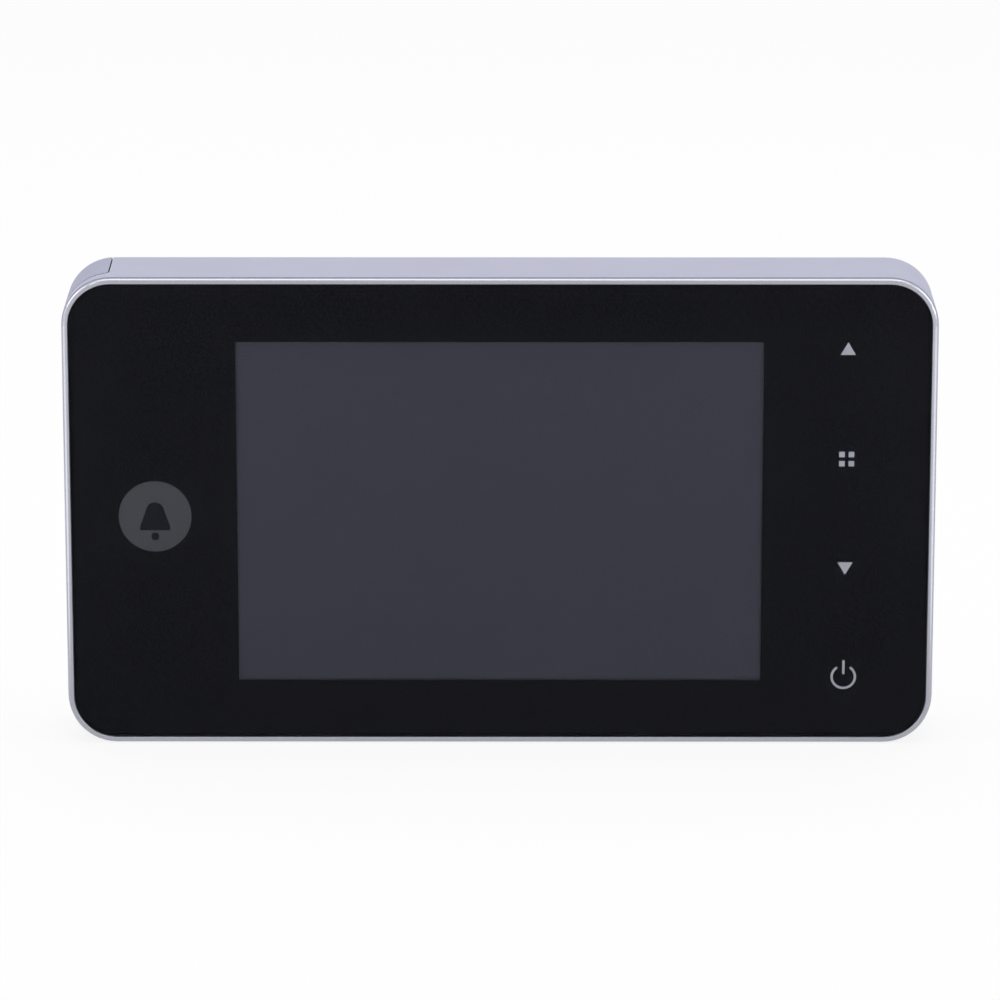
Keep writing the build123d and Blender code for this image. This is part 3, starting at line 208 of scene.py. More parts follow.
def lacquer_reach_and_seam_shade(tree, place, settings):
    """Share that is 1 where spray reached, on the casing's outside and front rim, and 0 in its gaps, where the
    dark bare colour is partly painted shade.
    """
    middle, half = (CAD_LOW + CAD_HIGH) / 2, (CAD_HIGH - CAD_LOW) / 2
    corner, back_round = settings.corner_radius, settings.back_radius
    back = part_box("rear_housing")[1].y
    # Seen from the front, how far past the middles of the round corners
    across = place
    for operation, operand in (
        ("SUBTRACT", (middle.x, 0.0, middle.z)), ("ABSOLUTE", None),
        ("SUBTRACT", (half.x - corner, 1.0, half.z - corner)), ("MAXIMUM", (0.0, 0.0, 0.0)),
    ):
        values = None if operand is None else {1: operand}
        step = add_node(tree, "ShaderNodeVectorMath", {"operation": operation}, values, {0: across})
        across = step.outputs[0]
    reach = add_node(tree, "ShaderNodeVectorMath", {"operation": "LENGTH"}, None, {0: across}).outputs["Value"]
    depth = add_node(tree, "ShaderNodeSeparateXYZ", None, None, {0: place}).outputs["Y"]
    # In a section through the wall, how far from the middle of its round back edge
    past = []
    for position, start in ((reach, corner - back_round), (depth, back - back_round)):
        less = add_node(tree, "ShaderNodeMath", {"operation": "SUBTRACT"}, {1: start}, {0: position})
        past.append(less.outputs[0])
    both = add_node(tree, "ShaderNodeCombineXYZ", None, None, {0: past[0], 1: past[1]}).outputs[0]
    both = add_node(tree, "ShaderNodeVectorMath", {"operation": "MAXIMUM"}, {1: (0.0, 0.0, 0.0)}, {0: both})
    distance = add_node(tree, "ShaderNodeVectorMath", {"operation": "LENGTH"}, None, {0: both.outputs[0]})
    outside = add_node(tree, "ShaderNodeMath", {"operation": "GREATER_THAN"},
                       {1: back_round - settings.lacquer_depth}, {0: distance.outputs["Value"]}).outputs[0]
    rim = add_node(tree, "ShaderNodeMath", {"operation": "LESS_THAN"},
                   {1: CAD_LOW.y + settings.rim_depth}, {0: depth}).outputs[0]
    return add_node(tree, "ShaderNodeMath", {"operation": "MAXIMUM"}, None, {0: outside, 1: rim}).outputs[0]


def lacquered(name, colour, settings, metallic, roughness, specular, peel_mm):
    """Metallic lacquer sprayed on a moulding, with a soft peel, and dark bare plastic where no spray reached,
    partly painted shade in the gaps.
    """
    material, tree, place = new_material(name)
    # Where this share is 0, in the seams, the dark bare colour also paints the shade inside the gaps
    reach = lacquer_reach_and_seam_shade(tree, place, settings)
    flakes = between(tree, cloudy(tree, place, 0.12, 1.0), roughness - 0.05, roughness + 0.05)
    peel = cloudy(tree, place, peel_mm, 1.0)
    metal = add_node(tree, "ShaderNodeMath", {"operation": "MULTIPLY"}, {1: metallic}, {0: reach})
    links = {
        "Base Color": blended(tree, reach, settings.bare_and_seam_shade_colour, drifting(tree, place, colour, 0.015, 9.0)),
        "Metallic": metal.outputs[0],
        "Roughness": flakes,
        "Normal": bumped(tree, peel, 0.003),
    }
    values = {"Specular IOR Level": specular}
    close_material(tree, add_node(tree, "ShaderNodeBsdfPrincipled", None, values, links))
    return material


def panel_glass(name, settings):
    """Toughened glass with an anti-reflective coat: clear, and a mirror only at a flat angle.

    Lamps shine through it.
    """
    material, tree, place = new_material(name)
    tint = settings.glass_colour
    values = {"Color": tint, "IOR": settings.glass_ior, "Roughness": 0.0}
    through = add_node(tree, "ShaderNodeBsdfRefraction", None, values)
    smears = between(tree, cloudy(tree, place, 18.0), 0.0, settings.smear_roughness)
    mirror = add_node(tree, "ShaderNodeBsdfAnisotropic", None, {"Color": WHITE}, {"Roughness": smears})
    share = add_node(tree, "ShaderNodeFresnel", None, {"IOR": settings.glass_ior}).outputs[0]
    share = add_node(tree, "ShaderNodeMath", {"operation": "POWER"}, {1: settings.coat_power}, {0: share})
    glass = add_node(tree, "ShaderNodeMixShader", None, None,
                     {0: share.outputs[0], 1: through.outputs[0], 2: mirror.outputs[0]})
    clear = add_node(tree, "ShaderNodeBsdfTransparent", None, {"Color": tint})
    shadow = add_node(tree, "ShaderNodeLightPath").outputs["Is Shadow Ray"]
    mixed = add_node(tree, "ShaderNodeMixShader", None, None,
                     {0: shadow, 1: glass.outputs[0], 2: clear.outputs[0]})
    close_material(tree, mixed)
    return material


def rolled(name, colour, roughness=0.32, line_mm=0.15, stretch=(0.04, 1.0, 1.0)):
    """Rolled sheet metal: bright, with fine lines along the way it was rolled."""
    material, tree, place = new_material(name)
    lines = cloudy(tree, stretched(tree, place, stretch), line_mm, 4.0)
    links = {
        "Base Color": drifting(tree, place, colour, 0.05, 6.0),
        "Roughness": between(tree, lines, roughness - 0.08, roughness + 0.1),
        "Normal": bumped(tree, lines, 0.001),
    }
    close_material(tree, add_node(tree, "ShaderNodeBsdfPrincipled", None, {"Metallic": 1.0}, links))
    return material


def plated(name, colour, roughness=0.35, patch_mm=2.0, spread=0.06):
    """Plated metal: the faint patches of the plating's crystals, and hairline scratches."""
    material, tree, place = new_material(name)
    cells = add_node(tree, "ShaderNodeTexVoronoi", None, {"Scale": per_metre(patch_mm)}, {"Vector": place})
    share = add_node(tree, "ShaderNodeSeparateColor", None, None, {0: cells.outputs["Color"]}).outputs[0]
    scratches = cloudy(tree, stretched(tree, place, (0.06, 1.0, 1.6)), 0.3, 5.0)
    links = {
        "Base Color": blended(tree, share, shade(colour, 1 - spread), shade(colour, 1 + spread)),
        "Roughness": between(tree, scratches, roughness - 0.07, roughness + 0.12),
        "Normal": bumped(tree, scratches, 0.002),
    }
    close_material(tree, add_node(tree, "ShaderNodeBsdfPrincipled", None, {"Metallic": 1.0}, links))
    return material


def foam(name, colour, cell_mm=0.35):
    """Closed-cell foam: dull, pitted by its cells, and darker at the bottom of each pit as painted shade."""
    material, tree, place = new_material(name)
    cells = add_node(tree, "ShaderNodeTexVoronoi", {"feature": "SMOOTH_F1"}, {"Scale": per_metre(cell_mm)},
                     {"Vector": place}).outputs["Distance"]
    links = {
        # Darker towards the bottom of each cell's pit: painted shade
        "Base Color": blended(tree, cells, shade(colour, 0.6), shade(colour, 1.3)),
        "Normal": bumped(tree, cells, 0.05),
    }
    values = {"Roughness": 0.95, "Specular IOR Level": 0.2}
    close_material(tree, add_node(tree, "ShaderNodeBsdfPrincipled", None, values, links))
    return material


def circuit_board(name, mask, track, field_mm=9.0, tracks_per_field=14.0):
    """Board under solder mask: glossy green, with fields of paler tracks that bend at 45 degrees."""
    material, tree, place = new_material(name)
    steps = add_node(tree, "ShaderNodeTexVoronoi", {"distance": "MANHATTAN"}, {"Scale": per_metre(field_mm)},
                     {"Vector": stretched(tree, place, (1.0, 0.0, 1.0))}).outputs["Distance"]
    steps = add_node(tree, "ShaderNodeMath", {"operation": "MULTIPLY"}, {1: tracks_per_field},
                     {0: steps}).outputs[0]
    steps = add_node(tree, "ShaderNodeMath", {"operation": "PINGPONG"}, {1: 0.5}, {0: steps}).outputs[0]
    tracks = between(tree, steps, 0.0, 1.0, 0.28, 0.33)
    links = {
        "Base Color": blended(tree, tracks, drifting(tree, place, mask, 0.08, 4.0), track),
        "Normal": bumped(tree, tracks, 0.02),
    }
    close_material(tree, add_node(tree, "ShaderNodeBsdfPrincipled", None, {"Roughness": 0.28}, links))
    return material


def flexible_circuit(name, film, copper):
    """Polyimide film over copper: amber, with a row of fine tracks, one each millimetre of its width."""
    material, tree, place = new_material(name)
    tracks = add_node(tree, "ShaderNodeTexWave", {"bands_direction": "Z"}, {"Scale": wave_scale(1.0)},
                      {"Vector": place}).outputs[0]
    tracks = between(tree, tracks, 0.0, 1.0, 0.45, 0.55)
    links = {"Base Color": blended(tree, tracks, film, copper), "Normal": bumped(tree, tracks, 0.01)}
    close_material(tree, add_node(tree, "ShaderNodeBsdfPrincipled", None, {"Roughness": 0.22}, links))
    return material


def paint(nodes, material):
    """Gives CAD nodes a finish."""
    for name in nodes:
        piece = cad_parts[name]
        piece.data.materials.clear()
        piece.data.materials.append(material)


# Forms


def add_piece(name, build, material, body, node):
    """Piece made in this file, which rides on a body and may stand for a CAD node."""
    mesh = bpy.data.meshes.new(name)
    bmesh.ops.recalc_face_normals(build, faces=build.faces)
    build.to_mesh(mesh)
    build.free()
    mesh.materials.append(material)
    mesh.shade_smooth()
    piece = bpy.data.objects.new(name, mesh)
    bpy.context.scene.collection.objects.link(piece)
    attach(piece, body)
    if node:
        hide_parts(node)
    return piece


def solid_boxes(node):
    """Lowest and highest corner of each separate solid of a CAD node."""
    build = bmesh.new()
    build.from_mesh(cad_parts[node].data)
    bmesh.ops.remove_doubles(build, verts=build.verts, dist=MERGE_DISTANCE)
    waiting, boxes = set(build.verts), []
    while waiting:
        found, ahead = [], [waiting.pop()]
        while ahead:
            vert = ahead.pop()
            found.append(vert.co.copy())
            near = {edge.other_vert(vert) for edge in vert.link_edges} & waiting
            waiting -= near
            ahead.extend(near)
        low, high = (Vector(pick(co[axis] for co in found) for axis in range(3)) for pick in (min, max))
        boxes.append((low, high))
    build.free()
    return sorted(boxes, key=lambda box: tuple(box[0]))


def skin(build, rings):
    """Closes a row of rings of points into one surface, with a cap at each end."""
    rows = [[build.verts.new(point) for point in ring] for ring in rings]
    for first, second in zip(rows, rows[1:]):
        for at, vert in enumerate(first):
            build.faces.new((first[at - 1], vert, second[at], second[at - 1]))
    build.faces.new(rows[0])
    build.faces.new(rows[-1])


def cross_sink(x, z, settings):
    """How deep a tapered cross recess is at a place on a screw's head."""
    thin, reach = settings.cross_width / 2, settings.cross_reach
    inside = max(min(thin - abs(x), reach - abs(z)), min(reach - abs(x), thin - abs(z)))
    return settings.cross_depth * min(1.0, max(0.0, inside / settings.cross_taper))


def screw(build, box, side, head_height, shank_radius, settings):
    """Screw with a rolled thread and a domed head, which is at its back end (1) or its front end (-1)."""
    low, high = box
    middle_x, middle_z, head_radius = (low.x + high.x) / 2, (low.z + high.z) / 2, (high.x - low.x) / 2
    tip, top = (low.y, high.y) if side > 0 else (high.y, low.y)
    length = abs(top - tip)
    seat = length - head_height
    turns = max(1, int(seat / settings.thread_pitch) - 1)
    profile = [(shank_radius * 0.5, 0.0)]
    for turn in range(turns):
        start = (turn + 0.5) * settings.thread_pitch
        profile.append((shank_radius, start))
        profile.append((shank_radius - settings.thread_depth, start + settings.thread_pitch / 2))
    profile.append((shank_radius - settings.thread_depth, seat))
    dome = head_height * settings.dome_share
    profile += [(head_radius, seat), (head_radius, length - dome)]
    rings = [[(radius, angle, height) for angle in around(settings.segments)] for radius, height in profile]
    for step in range(1, settings.head_rings):
        radius = head_radius * (1 - step / settings.head_rings)
        ring = []
        for angle in around(settings.segments):
            x, z = radius * math.cos(angle), radius * math.sin(angle)
            rise = dome * (1 - (radius / head_radius) ** 2) - cross_sink(x, z, settings)
            ring.append((radius, angle, length - dome + rise))
        rings.append(ring)
    skin(build, [
        [(middle_x + r * math.cos(a), tip + side * h, middle_z + r * math.sin(a)) for r, a, h in ring]
        for ring in rings
    ])


def around(count):
    """Angles of evenly spaced points round a circle."""
    return [math.tau * at / count for at in range(count)]


def rounded_ring(left, right, near, far, radius, inset, ripple, height, steps=8, waves=5):
    """Ring of points round a level outline with round corners, drawn in and rippled a little."""
    points = []
    corners = ((right, far, 0), (left, far, 1), (left, near, 2), (right, near, 3))
    for corner_x, corner_y, quarter in corners:
        middle_x = corner_x - math.copysign(radius, corner_x - (left + right) / 2)
        middle_y = corner_y - math.copysign(radius, corner_y - (near + far) / 2)
        for step in range(steps + 1):
            angle = math.tau / 4 * (quarter + step / steps)
            reach = radius - inset - ripple * (0.5 + 0.5 * math.sin(waves * len(points)))
            points.append((middle_x + reach * math.cos(angle), middle_y + reach * math.sin(angle), height))
    return points


def softened(name, node, edge_mm, material, body, flat_degrees=1, edge_segments=3):
    """Soft copy of a CAD piece, its edges pressed round."""
    build = bmesh.new()
    build.from_mesh(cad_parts[node].data)
    bmesh.ops.remove_doubles(build, verts=build.verts, dist=MERGE_DISTANCE)
    flat = math.radians(flat_degrees)
    bmesh.ops.dissolve_limit(build, angle_limit=flat, verts=build.verts, edges=build.edges)
    piece = add_piece(name, build, material, body, node)
    bevel = piece.modifiers.new("pressed_edges", "BEVEL")
    bevel.width, bevel.segments, bevel.limit_method = edge_mm * MM, edge_segments, "ANGLE"


# Settings that a user can change


class CasingSettings(bpy.types.PropertyGroup):
    """Finish of the casing."""

    housing_colour: colour_property("Housing", "Lacquer on the housing", "B1B3C6")
    cover_colour: colour_property("Cover", "Lacquer on the battery cover", "A4A6BA")
    bezel_colour: colour_property("Bezel", "Lacquer on the ring round the glass", "A9AAB4")
    # Dark partly as bare moulding and partly as painted shade in the seams
    bare_and_seam_shade_colour: colour_property("Bare plastic and seam shade", "Moulding where no lacquer reached", "2E2C30")
    corner_radius: length_property("Corner", "Corner radius of the casing, seen from the front", 7.8)
    back_radius: length_property("Back edge", "Radius of the casing's back edge", 1.2)
    # Deeper than this in a gap, the dark bare colour paints the seam's shade
    lacquer_depth: length_property("Spray depth", "How far the spray reached into a gap", 0.03)
    rim_depth: length_property("Rim depth", "How far back the lacquer on the front rim goes", 1.2)


class FrontSettings(bpy.types.PropertyGroup):
    """Glass front and what is printed behind it."""

    print_colour: colour_property("Print", "Black print behind the glass", "101016")
    symbol_colour: colour_property("Symbols", "Light print of the key symbols", "BAB9BF")
    badge_colour: colour_property("Badge", "Grey print of the badge", "4C4C50")
    bell_colour: colour_property("Bell", "Dark print of the bell", "1A1A20")
    screen_colour: colour_property("Screen", "Front film of the display when it is off", "3D3D46")
    glass_colour: colour_property("Glass", "Tint of the front glass", "FBFCFE")
    glass_ior: bpy.props.FloatProperty(
        name="Glass IOR", description="Refractive index of the front glass", default=1.5, min=1.3, max=1.8
    )
    coat_power: bpy.props.FloatProperty(
        name="Coat", description="How strongly the coat holds back reflections: 1 is bare glass", default=1.9,
        min=1.0
    )
    smear_roughness: bpy.props.FloatProperty(
        name="Smears", description="Roughness of the glass where it was touched", default=0.03, min=0.0, max=0.1
    )


class ScrewSettings(bpy.types.PropertyGroup):
    """Shape of the screws."""

    case_head: length_property("Case screw head", "Height of a case screw's head", 1.3)
    case_shank: length_property("Case screw", "Radius of a case screw's thread", 0.95)
    display_head: length_property("Display screw head", "Height of a display screw's head", 0.5)
    display_shank: length_property("Display screw", "Radius of a display screw's thread", 0.7)
    board_head: length_property("Board screw head", "Height of a board screw's head", 0.7)
    board_shank: length_property("Board screw", "Radius of a board screw's thread", 0.8)
    thread_pitch: length_property("Pitch", "Pitch of the threads", 0.5)
    thread_depth: length_property("Thread", "Depth of the threads", 0.14)
    cross_width: length_property("Cross width", "Width of the cross recess", 0.5)
    cross_reach: length_property("Cross reach", "From the middle of the recess to its end", 1.0)
    cross_depth: length_property("Cross depth", "Depth of the recess", 0.4)
    cross_taper: length_property("Cross taper", "Width of the recess's sloping wall", 0.12)
    dome_share: bpy.props.FloatProperty(
        name="Dome", description="Share of the head that is domed", default=0.35, min=0.0, max=1.0
    )
    segments: bpy.props.IntProperty(name="Segments", description="Points round a screw", default=48, min=8)
    head_rings: bpy.props.IntProperty(
        name="Head rings", description="Rings of points in a head", default=16, min=4
    )


class BatterySettings(bpy.types.PropertyGroup):
    """Battery in its sleeve."""

    sleeve_colour: colour_property("Sleeve", "Shrink sleeve of the battery", "3B3F4A")
    label_colour: colour_property("Label", "Bare label on the battery", "D8D9DC")
    edge_radius: length_property("Edge", "Radius of the battery's long edges", 1.4)
    sleeve_gap: length_property("Sleeve gap", "From the sleeve to the terminals' faces", 0.03)
    fold_inset: length_property("Fold", "How far the sleeve folds in over the ends", 1.1)
    fold_height: length_property("Fold height", "Over what length the sleeve draws in", 0.8)
    ripple: length_property("Ripple", "Depth of the sleeve's ripples at its ends", 0.12)
    label_margin: length_property("Label margin", "From the battery's edges to its label", 4.0)
    label_thickness: length_property("Label thickness", "Thickness of the label", 0.06)


class StageSettings(bpy.types.PropertyGroup):
    """Camera, lamps and floor."""

    distance: bpy.props.FloatProperty(
        name="Distance", description="From the camera to the middle of the front", default=0.9489, unit="LENGTH"
    )
    elevation: bpy.props.FloatProperty(
        name="Elevation", description="Camera above the horizon", default=math.radians(15.3), subtype="ANGLE"
    )
    turn: bpy.props.FloatProperty(
        name="Turn", description="Camera round the object", default=math.radians(-0.1), subtype="ANGLE"
    )
    lens: bpy.props.FloatProperty(
        name="Lens", description="Focal length in millimetres, on a sensor 36 mm wide", default=215.4, min=1.0
    )
    shift: bpy.props.FloatProperty(
        name="Shift", description="Upward shift of the view, as a share of its width", default=0.0133
    )
    floor_size: bpy.props.FloatProperty(
        name="Floor", description="Side of the square floor", default=8.0, unit="LENGTH"
    )
    ambient: bpy.props.FloatProperty(
        name="Ambient", description="Strength of the even light from all round", default=0.45, min=0.0
    )
    key_power: bpy.props.FloatProperty(
        name="Key lamp", description="Power of the soft lamp above", default=8.5, unit="POWER"
    )
    key_size: bpy.props.FloatProperty(
        name="Key size", description="Side of the soft lamp above", default=1.2, unit="LENGTH"
    )
    key_place: bpy.props.FloatVectorProperty(
        name="Key place", description="Where the soft lamp above hangs", default=(0.0, 0.1, 1.2), unit="LENGTH"
    )
    side_power: bpy.props.FloatProperty(
        name="Side lamps", description="Power of each lamp at the side", default=1.2, unit="POWER"
    )
    side_size: bpy.props.FloatProperty(
        name="Side size", description="Side of each lamp at the side", default=0.6, unit="LENGTH"
    )
    side_place: bpy.props.FloatVectorProperty(
        name="Side place", description="Where the right lamp stands. The left one mirrors it",
        default=(0.9, -0.1, 0.45), unit="LENGTH",
    )
    rim_power: bpy.props.FloatProperty(
        name="Rim lamps", description="Power of each lamp that only shows as a highlight", default=4.0,
        unit="POWER"
    )
    rim_size: bpy.props.FloatProperty(
        name="Rim size", description="Side of each rim lamp", default=0.8, unit="LENGTH"
    )
    rim_place: bpy.props.FloatVectorProperty(
        name="Rim place", description="Where the right rim lamp stands. The left one mirrors it",
        default=(0.85, -0.15, 0.5), unit="LENGTH",
    )
    card_power: bpy.props.FloatProperty(
        name="Card lamps", description="Power of each glowing card on the floor, also only a highlight",
        default=0.35, unit="POWER"
    )
    card_size: bpy.props.FloatProperty(
        name="Card size", description="Side of each glowing card", default=0.26, unit="LENGTH"
    )
    card_place: bpy.props.FloatVectorProperty(
        name="Card place", description="Where the right card lies. The left one mirrors it",
        default=(0.23, -0.15, 0.005), unit="LENGTH",
    )
    shadow_share: bpy.props.FloatProperty(
        name="Shadow", description="How much of the object's shadow the floor shows", default=0.15,
        min=0.0, max=1.0
    )


# Operators


class MONITOR_OT_casing(bpy.types.Operator):
    """Silver lacquer on the housing, the battery cover and the bezel ring"""

    bl_idname = "monitor.casing"
    bl_label = "Casing"

    def execute(self, context):
        settings = context.scene.monitor_casing
        # Lavender-silver lacquer on ABS: satin, with a faint peel, and the dark moulding inside the seams,
        # which also paints the seams' shade
        satin = {"metallic": 0.1, "roughness": 0.6, "specular": 0.2, "peel_mm": 0.5}
        housing = lacquered("metallic_lacquer_on_abs", settings.housing_colour, settings, **satin)
        paint(["rear_housing"], housing)
        # The cover's lacquer is a touch darker than the housing's
        cover = lacquered("lacquer_on_cover", settings.cover_colour, settings, **satin)
        paint(["battery_cover"], cover)
        # Brighter, polished lacquer on the ring: a clear highlight along its round edge
        bright = {"metallic": 0.8, "roughness": 0.3, "specular": 0.5, "peel_mm": 0.8}
        ring = lacquered("polished_metallic_lacquer", settings.bezel_colour, settings, **bright)
        paint(["bezel_ring"], ring)
        return {"FINISHED"}


class MONITOR_OT_front(bpy.types.Operator):
    """Front glass and the prints behind it"""

    bl_idname = "monitor.front"
    bl_label = "Front glass"

    def execute(self, context):
        settings = context.scene.monitor_front
        # Clear, nearly free of reflections from the front
        paint(["front_glass"], panel_glass("coated_toughened_glass", settings))
        # Inks behind the glass: dull, and as dark or light as they were printed
        paint(["glass_print"], printed("black_screen_print", settings.print_colour))
        paint(["key_symbols"], printed("light_screen_print", settings.symbol_colour))
        paint(["badge_disc"], printed("grey_screen_print", settings.badge_colour))
        paint(["badge_bell"], printed("dark_screen_print", settings.bell_colour))
        return {"FINISHED"}


class MONITOR_OT_display(bpy.types.Operator):
    """Display module, touch keys and their flexes"""

    bl_idname = "monitor.display"
    bl_label = "Display"

    def execute(self, context):
        settings = context.scene.monitor_front
        # Stretched film over the unlit cell: charcoal with a blue cast, matt from its anti-glare haze
        film = moulded("polariser_film", settings.screen_colour, roughness=0.55, spread=0.015, patch_mm=25.0,
                       grain_depth_mm=0.0005, specular=0.1)
        paint(["lcd_polariser"], film)
        # Dark glass of the cell, glossy at its ledge
        cell = moulded("display_cell_glass", linear("2A2C30"), roughness=0.12, spread=0.03, patch_mm=8.0,
                       grain_mm=0.6, grain_depth_mm=0.0005)
        paint(["lcd_cell"], cell)
        # White tray and diffusers: milky, slightly warm
        milky = moulded("white_polycarbonate", linear("E6E6E1"), roughness=0.42, spread=0.02)
        paint(["backlight_tray", "key_diffusers"], milky)
        # Amber film over copper
        for node in ("lcd_flex", "touch_flex"):
            paint([node], flexible_circuit(node + "_polyimide", linear("B98A35"), linear("B4662A")))
        # Ivory nylon with a trace of gloss
        nylon = moulded("ivory_nylon", linear("DED3B4"), roughness=0.45)
        paint(["lcd_connector", "touch_connector", "camera_socket"], nylon)
        # Clear resin over a yellow die
        resin = moulded("lamp_resin", linear("EFE9BE"), roughness=0.2, spread=0.12, patch_mm=1.0)
        paint(["key_lamps"], resin)
        return {"FINISHED"}


class MONITOR_OT_mouldings(bpy.types.Operator):
    """Black mouldings, the button, the card and the foam pieces"""

    bl_idname = "monitor.mouldings"
    bl_label = "Mouldings"

    def execute(self, context):
        # Black ABS with the fine texture of a spark-eroded mould
        black = moulded("spark_textured_black_abs", linear("1D1D1F"), roughness=0.55, spread=0.06, patch_mm=4.0,
                        grain_mm=0.25, grain_depth_mm=0.012)
        paint(["front_frame", "contact_block", "speaker_frame", "cable_latch", "card_slider", "usb_tongue",
               "reset_switch"], black)
        # White acetal button, smooth and slightly glossy
        acetal = moulded("white_acetal", linear("DCDCD6"), roughness=0.35, spread=0.03, patch_mm=1.0)
        paint(["reset_button"], acetal)
        # Memory card: smooth black with a faint sheen
        card = moulded("card_moulding", linear("19191B"), roughness=0.38, spread=0.08, patch_mm=3.0,
                       grain_mm=0.15, grain_depth_mm=0.003)
        paint(["memory_card"], card)
        # Red PVC sleeve of the leads
        sleeve = moulded("pvc_lead_sleeve", linear("9E1B1B"), roughness=0.4, spread=0.06, patch_mm=1.0,
                         grain_mm=0.2, grain_depth_mm=0.004)
        paint(["speaker_leads"], sleeve)
        # Pressed polyester film of the speaker's cone: dark, smooth and slightly wavy
        cone = moulded("pressed_polyester_film", linear("2C2C2F"), roughness=0.3, spread=0.08, patch_mm=3.0,
                       grain_mm=0.8, grain_depth_mm=0.02)
        paint(["speaker_cone"], cone)
        # Die-cut foam, pressed round at its edges
        cells = foam("closed_cell_foam", linear("202022"))
        softened("glass_tape_foam", "glass_tape", 0.06, cells, "monitor")
        softened("display_gasket_foam", "display_gasket", 0.06, cells, "monitor")
        softened("speaker_gasket_foam", "speaker_gasket", 0.1, cells, "monitor")
        return {"FINISHED"}


class MONITOR_OT_electronics(bpy.types.Operator):
    """Boards and the parts on them"""

    bl_idname = "monitor.electronics"
    bl_label = "Electronics"

    def execute(self, context):
        # Green solder mask with paler tracks under it
        board = circuit_board("solder_masked_board", linear("0E4A2A"), linear("2C7A45"))
        paint(["main_board", "key_board"], board)
        # Black epoxy, matt and slightly mottled
        epoxy = moulded("moulded_epoxy", linear("232326"), roughness=0.6, spread=0.12, patch_mm=1.0,
                        grain_mm=0.12)
        paint(["board_chips", "touch_chip", "power_parts"], epoxy)
        # Fired ceramic bodies, tan
        ceramic = moulded("fired_ceramic", linear("A08263"), roughness=0.45, spread=0.12, patch_mm=0.8,
                          grain_mm=0.1, grain_depth_mm=0.004)
        paint(["small_parts"], ceramic)
        # Tin-plated steel of the cans and sockets, rolled along their length
        tinned = rolled("tin_plated_rolled_steel", linear("C6C7C9"))
        paint(["lcd_backplate", "shield_can", "card_socket", "usb_socket"], tinned)
        # Nickel plating on the magnet: a dull mirror
        nickel = plated("nickel_plated_magnet", linear("A9A8A4"), roughness=0.25, patch_mm=3.0, spread=0.03)
        paint(["speaker_magnet"], nickel)
        # Gold flash over nickel: yellow and bright
        gold = plated("gold_flash_plating", linear("DDB45A"), roughness=0.28, patch_mm=1.0, spread=0.05)
        paint(["battery_terminals", "battery_contacts", "camera_contacts"], gold)
        return {"FINISHED"}


class MONITOR_OT_bracket(bpy.types.Operator):
    """Zinc-plated steel bracket"""

    bl_idname = "monitor.bracket"
    bl_label = "Door bracket"

    def execute(self, context):
        # Bright zinc over cold-rolled sheet: cool, with faint crystals and handling scratches
        zinc = plated("zinc_plated_steel_sheet", linear("B9BDC0"), roughness=0.36, patch_mm=3.0)
        paint(["door_bracket"], zinc)
        return {"FINISHED"}


class MONITOR_OT_screws(bpy.types.Operator):
    """Screws with cross recesses, and their brass inserts"""

    bl_idname = "monitor.screws"
    bl_label = "Screws"

    def execute(self, context):
        settings = context.scene.monitor_screws
        # Nickel-plated steel: bright, with the fine crystals of the plating
        steel = plated("nickel_plated_screw_steel", linear("B2B2B0"), roughness=0.3, patch_mm=0.6, spread=0.05)
        kinds = (
            ("case_screws", 1, settings.case_head, settings.case_shank),
            ("display_screws", 1, settings.display_head, settings.display_shank),
            ("board_screws", -1, settings.board_head, settings.board_shank),
        )
        for node, side, head, shank in kinds:
            build = bmesh.new()
            for box in solid_boxes(node):
                screw(build, box, side, head, shank, settings)
            add_piece(node + "_threaded", build, steel, "monitor", node)
        # Turned brass, bright, with fine lines along the inserts
        brass = rolled("turned_brass", linear("C79A4B"), roughness=0.3, line_mm=0.1, stretch=(1.0, 0.02, 1.0))
        paint(["case_inserts"], brass)
        return {"FINISHED"}


class MONITOR_OT_battery(bpy.types.Operator):
    """Battery in its shrink sleeve, with a bare label"""

    bl_idname = "monitor.battery"
    bl_label = "Battery"

    def execute(self, context):
        settings = context.scene.monitor_battery
        low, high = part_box("battery_pack")
        gap, fold = settings.sleeve_gap, settings.fold_height
        # Height above an end, how far the sleeve is drawn in there, and its ripple
        end = (
            (0.0, settings.fold_inset, 0.0), (0.0, settings.fold_inset / 2, settings.ripple),
            (fold / 3, gap, settings.ripple), (fold, gap, 0.0),
        )
        rows = [(low.z + rise, inset, ripple) for rise, inset, ripple in end]
        rows += [(high.z - rise, inset, ripple) for rise, inset, ripple in reversed(end)]
        build = bmesh.new()
        skin(build, [
            rounded_ring(low.x, high.x, low.y, high.y, settings.edge_radius, inset, ripple, height)
            for height, inset, ripple in rows
        ])
        # Heat-shrunk PVC: glossy, tight and slightly rippled at its ends
        sleeve = moulded("heat_shrunk_pvc_sleeve", settings.sleeve_colour, roughness=0.28, spread=0.08,
                         patch_mm=8.0, grain_mm=1.5, grain_depth_mm=0.02)
        add_piece("battery_sleeve", build, sleeve, "monitor", "battery_pack")
        build = bmesh.new()
        margin, back = settings.label_margin, high.y - gap
        skin(build, [
            [(x, y, z) for x, z in ((low.x + margin, low.z + margin), (high.x - margin, low.z + margin),
                                    (high.x - margin, high.z - margin), (low.x + margin, high.z - margin))]
            for y in (back, back + settings.label_thickness)
        ])
        # Coated paper label, bare: pale and smooth
        paper = moulded("coated_paper_label", settings.label_colour, spread=0.02, grain_mm=0.4,
                        grain_depth_mm=0.004)
        add_piece("battery_label", build, paper, "monitor", None)
        return {"FINISHED"}


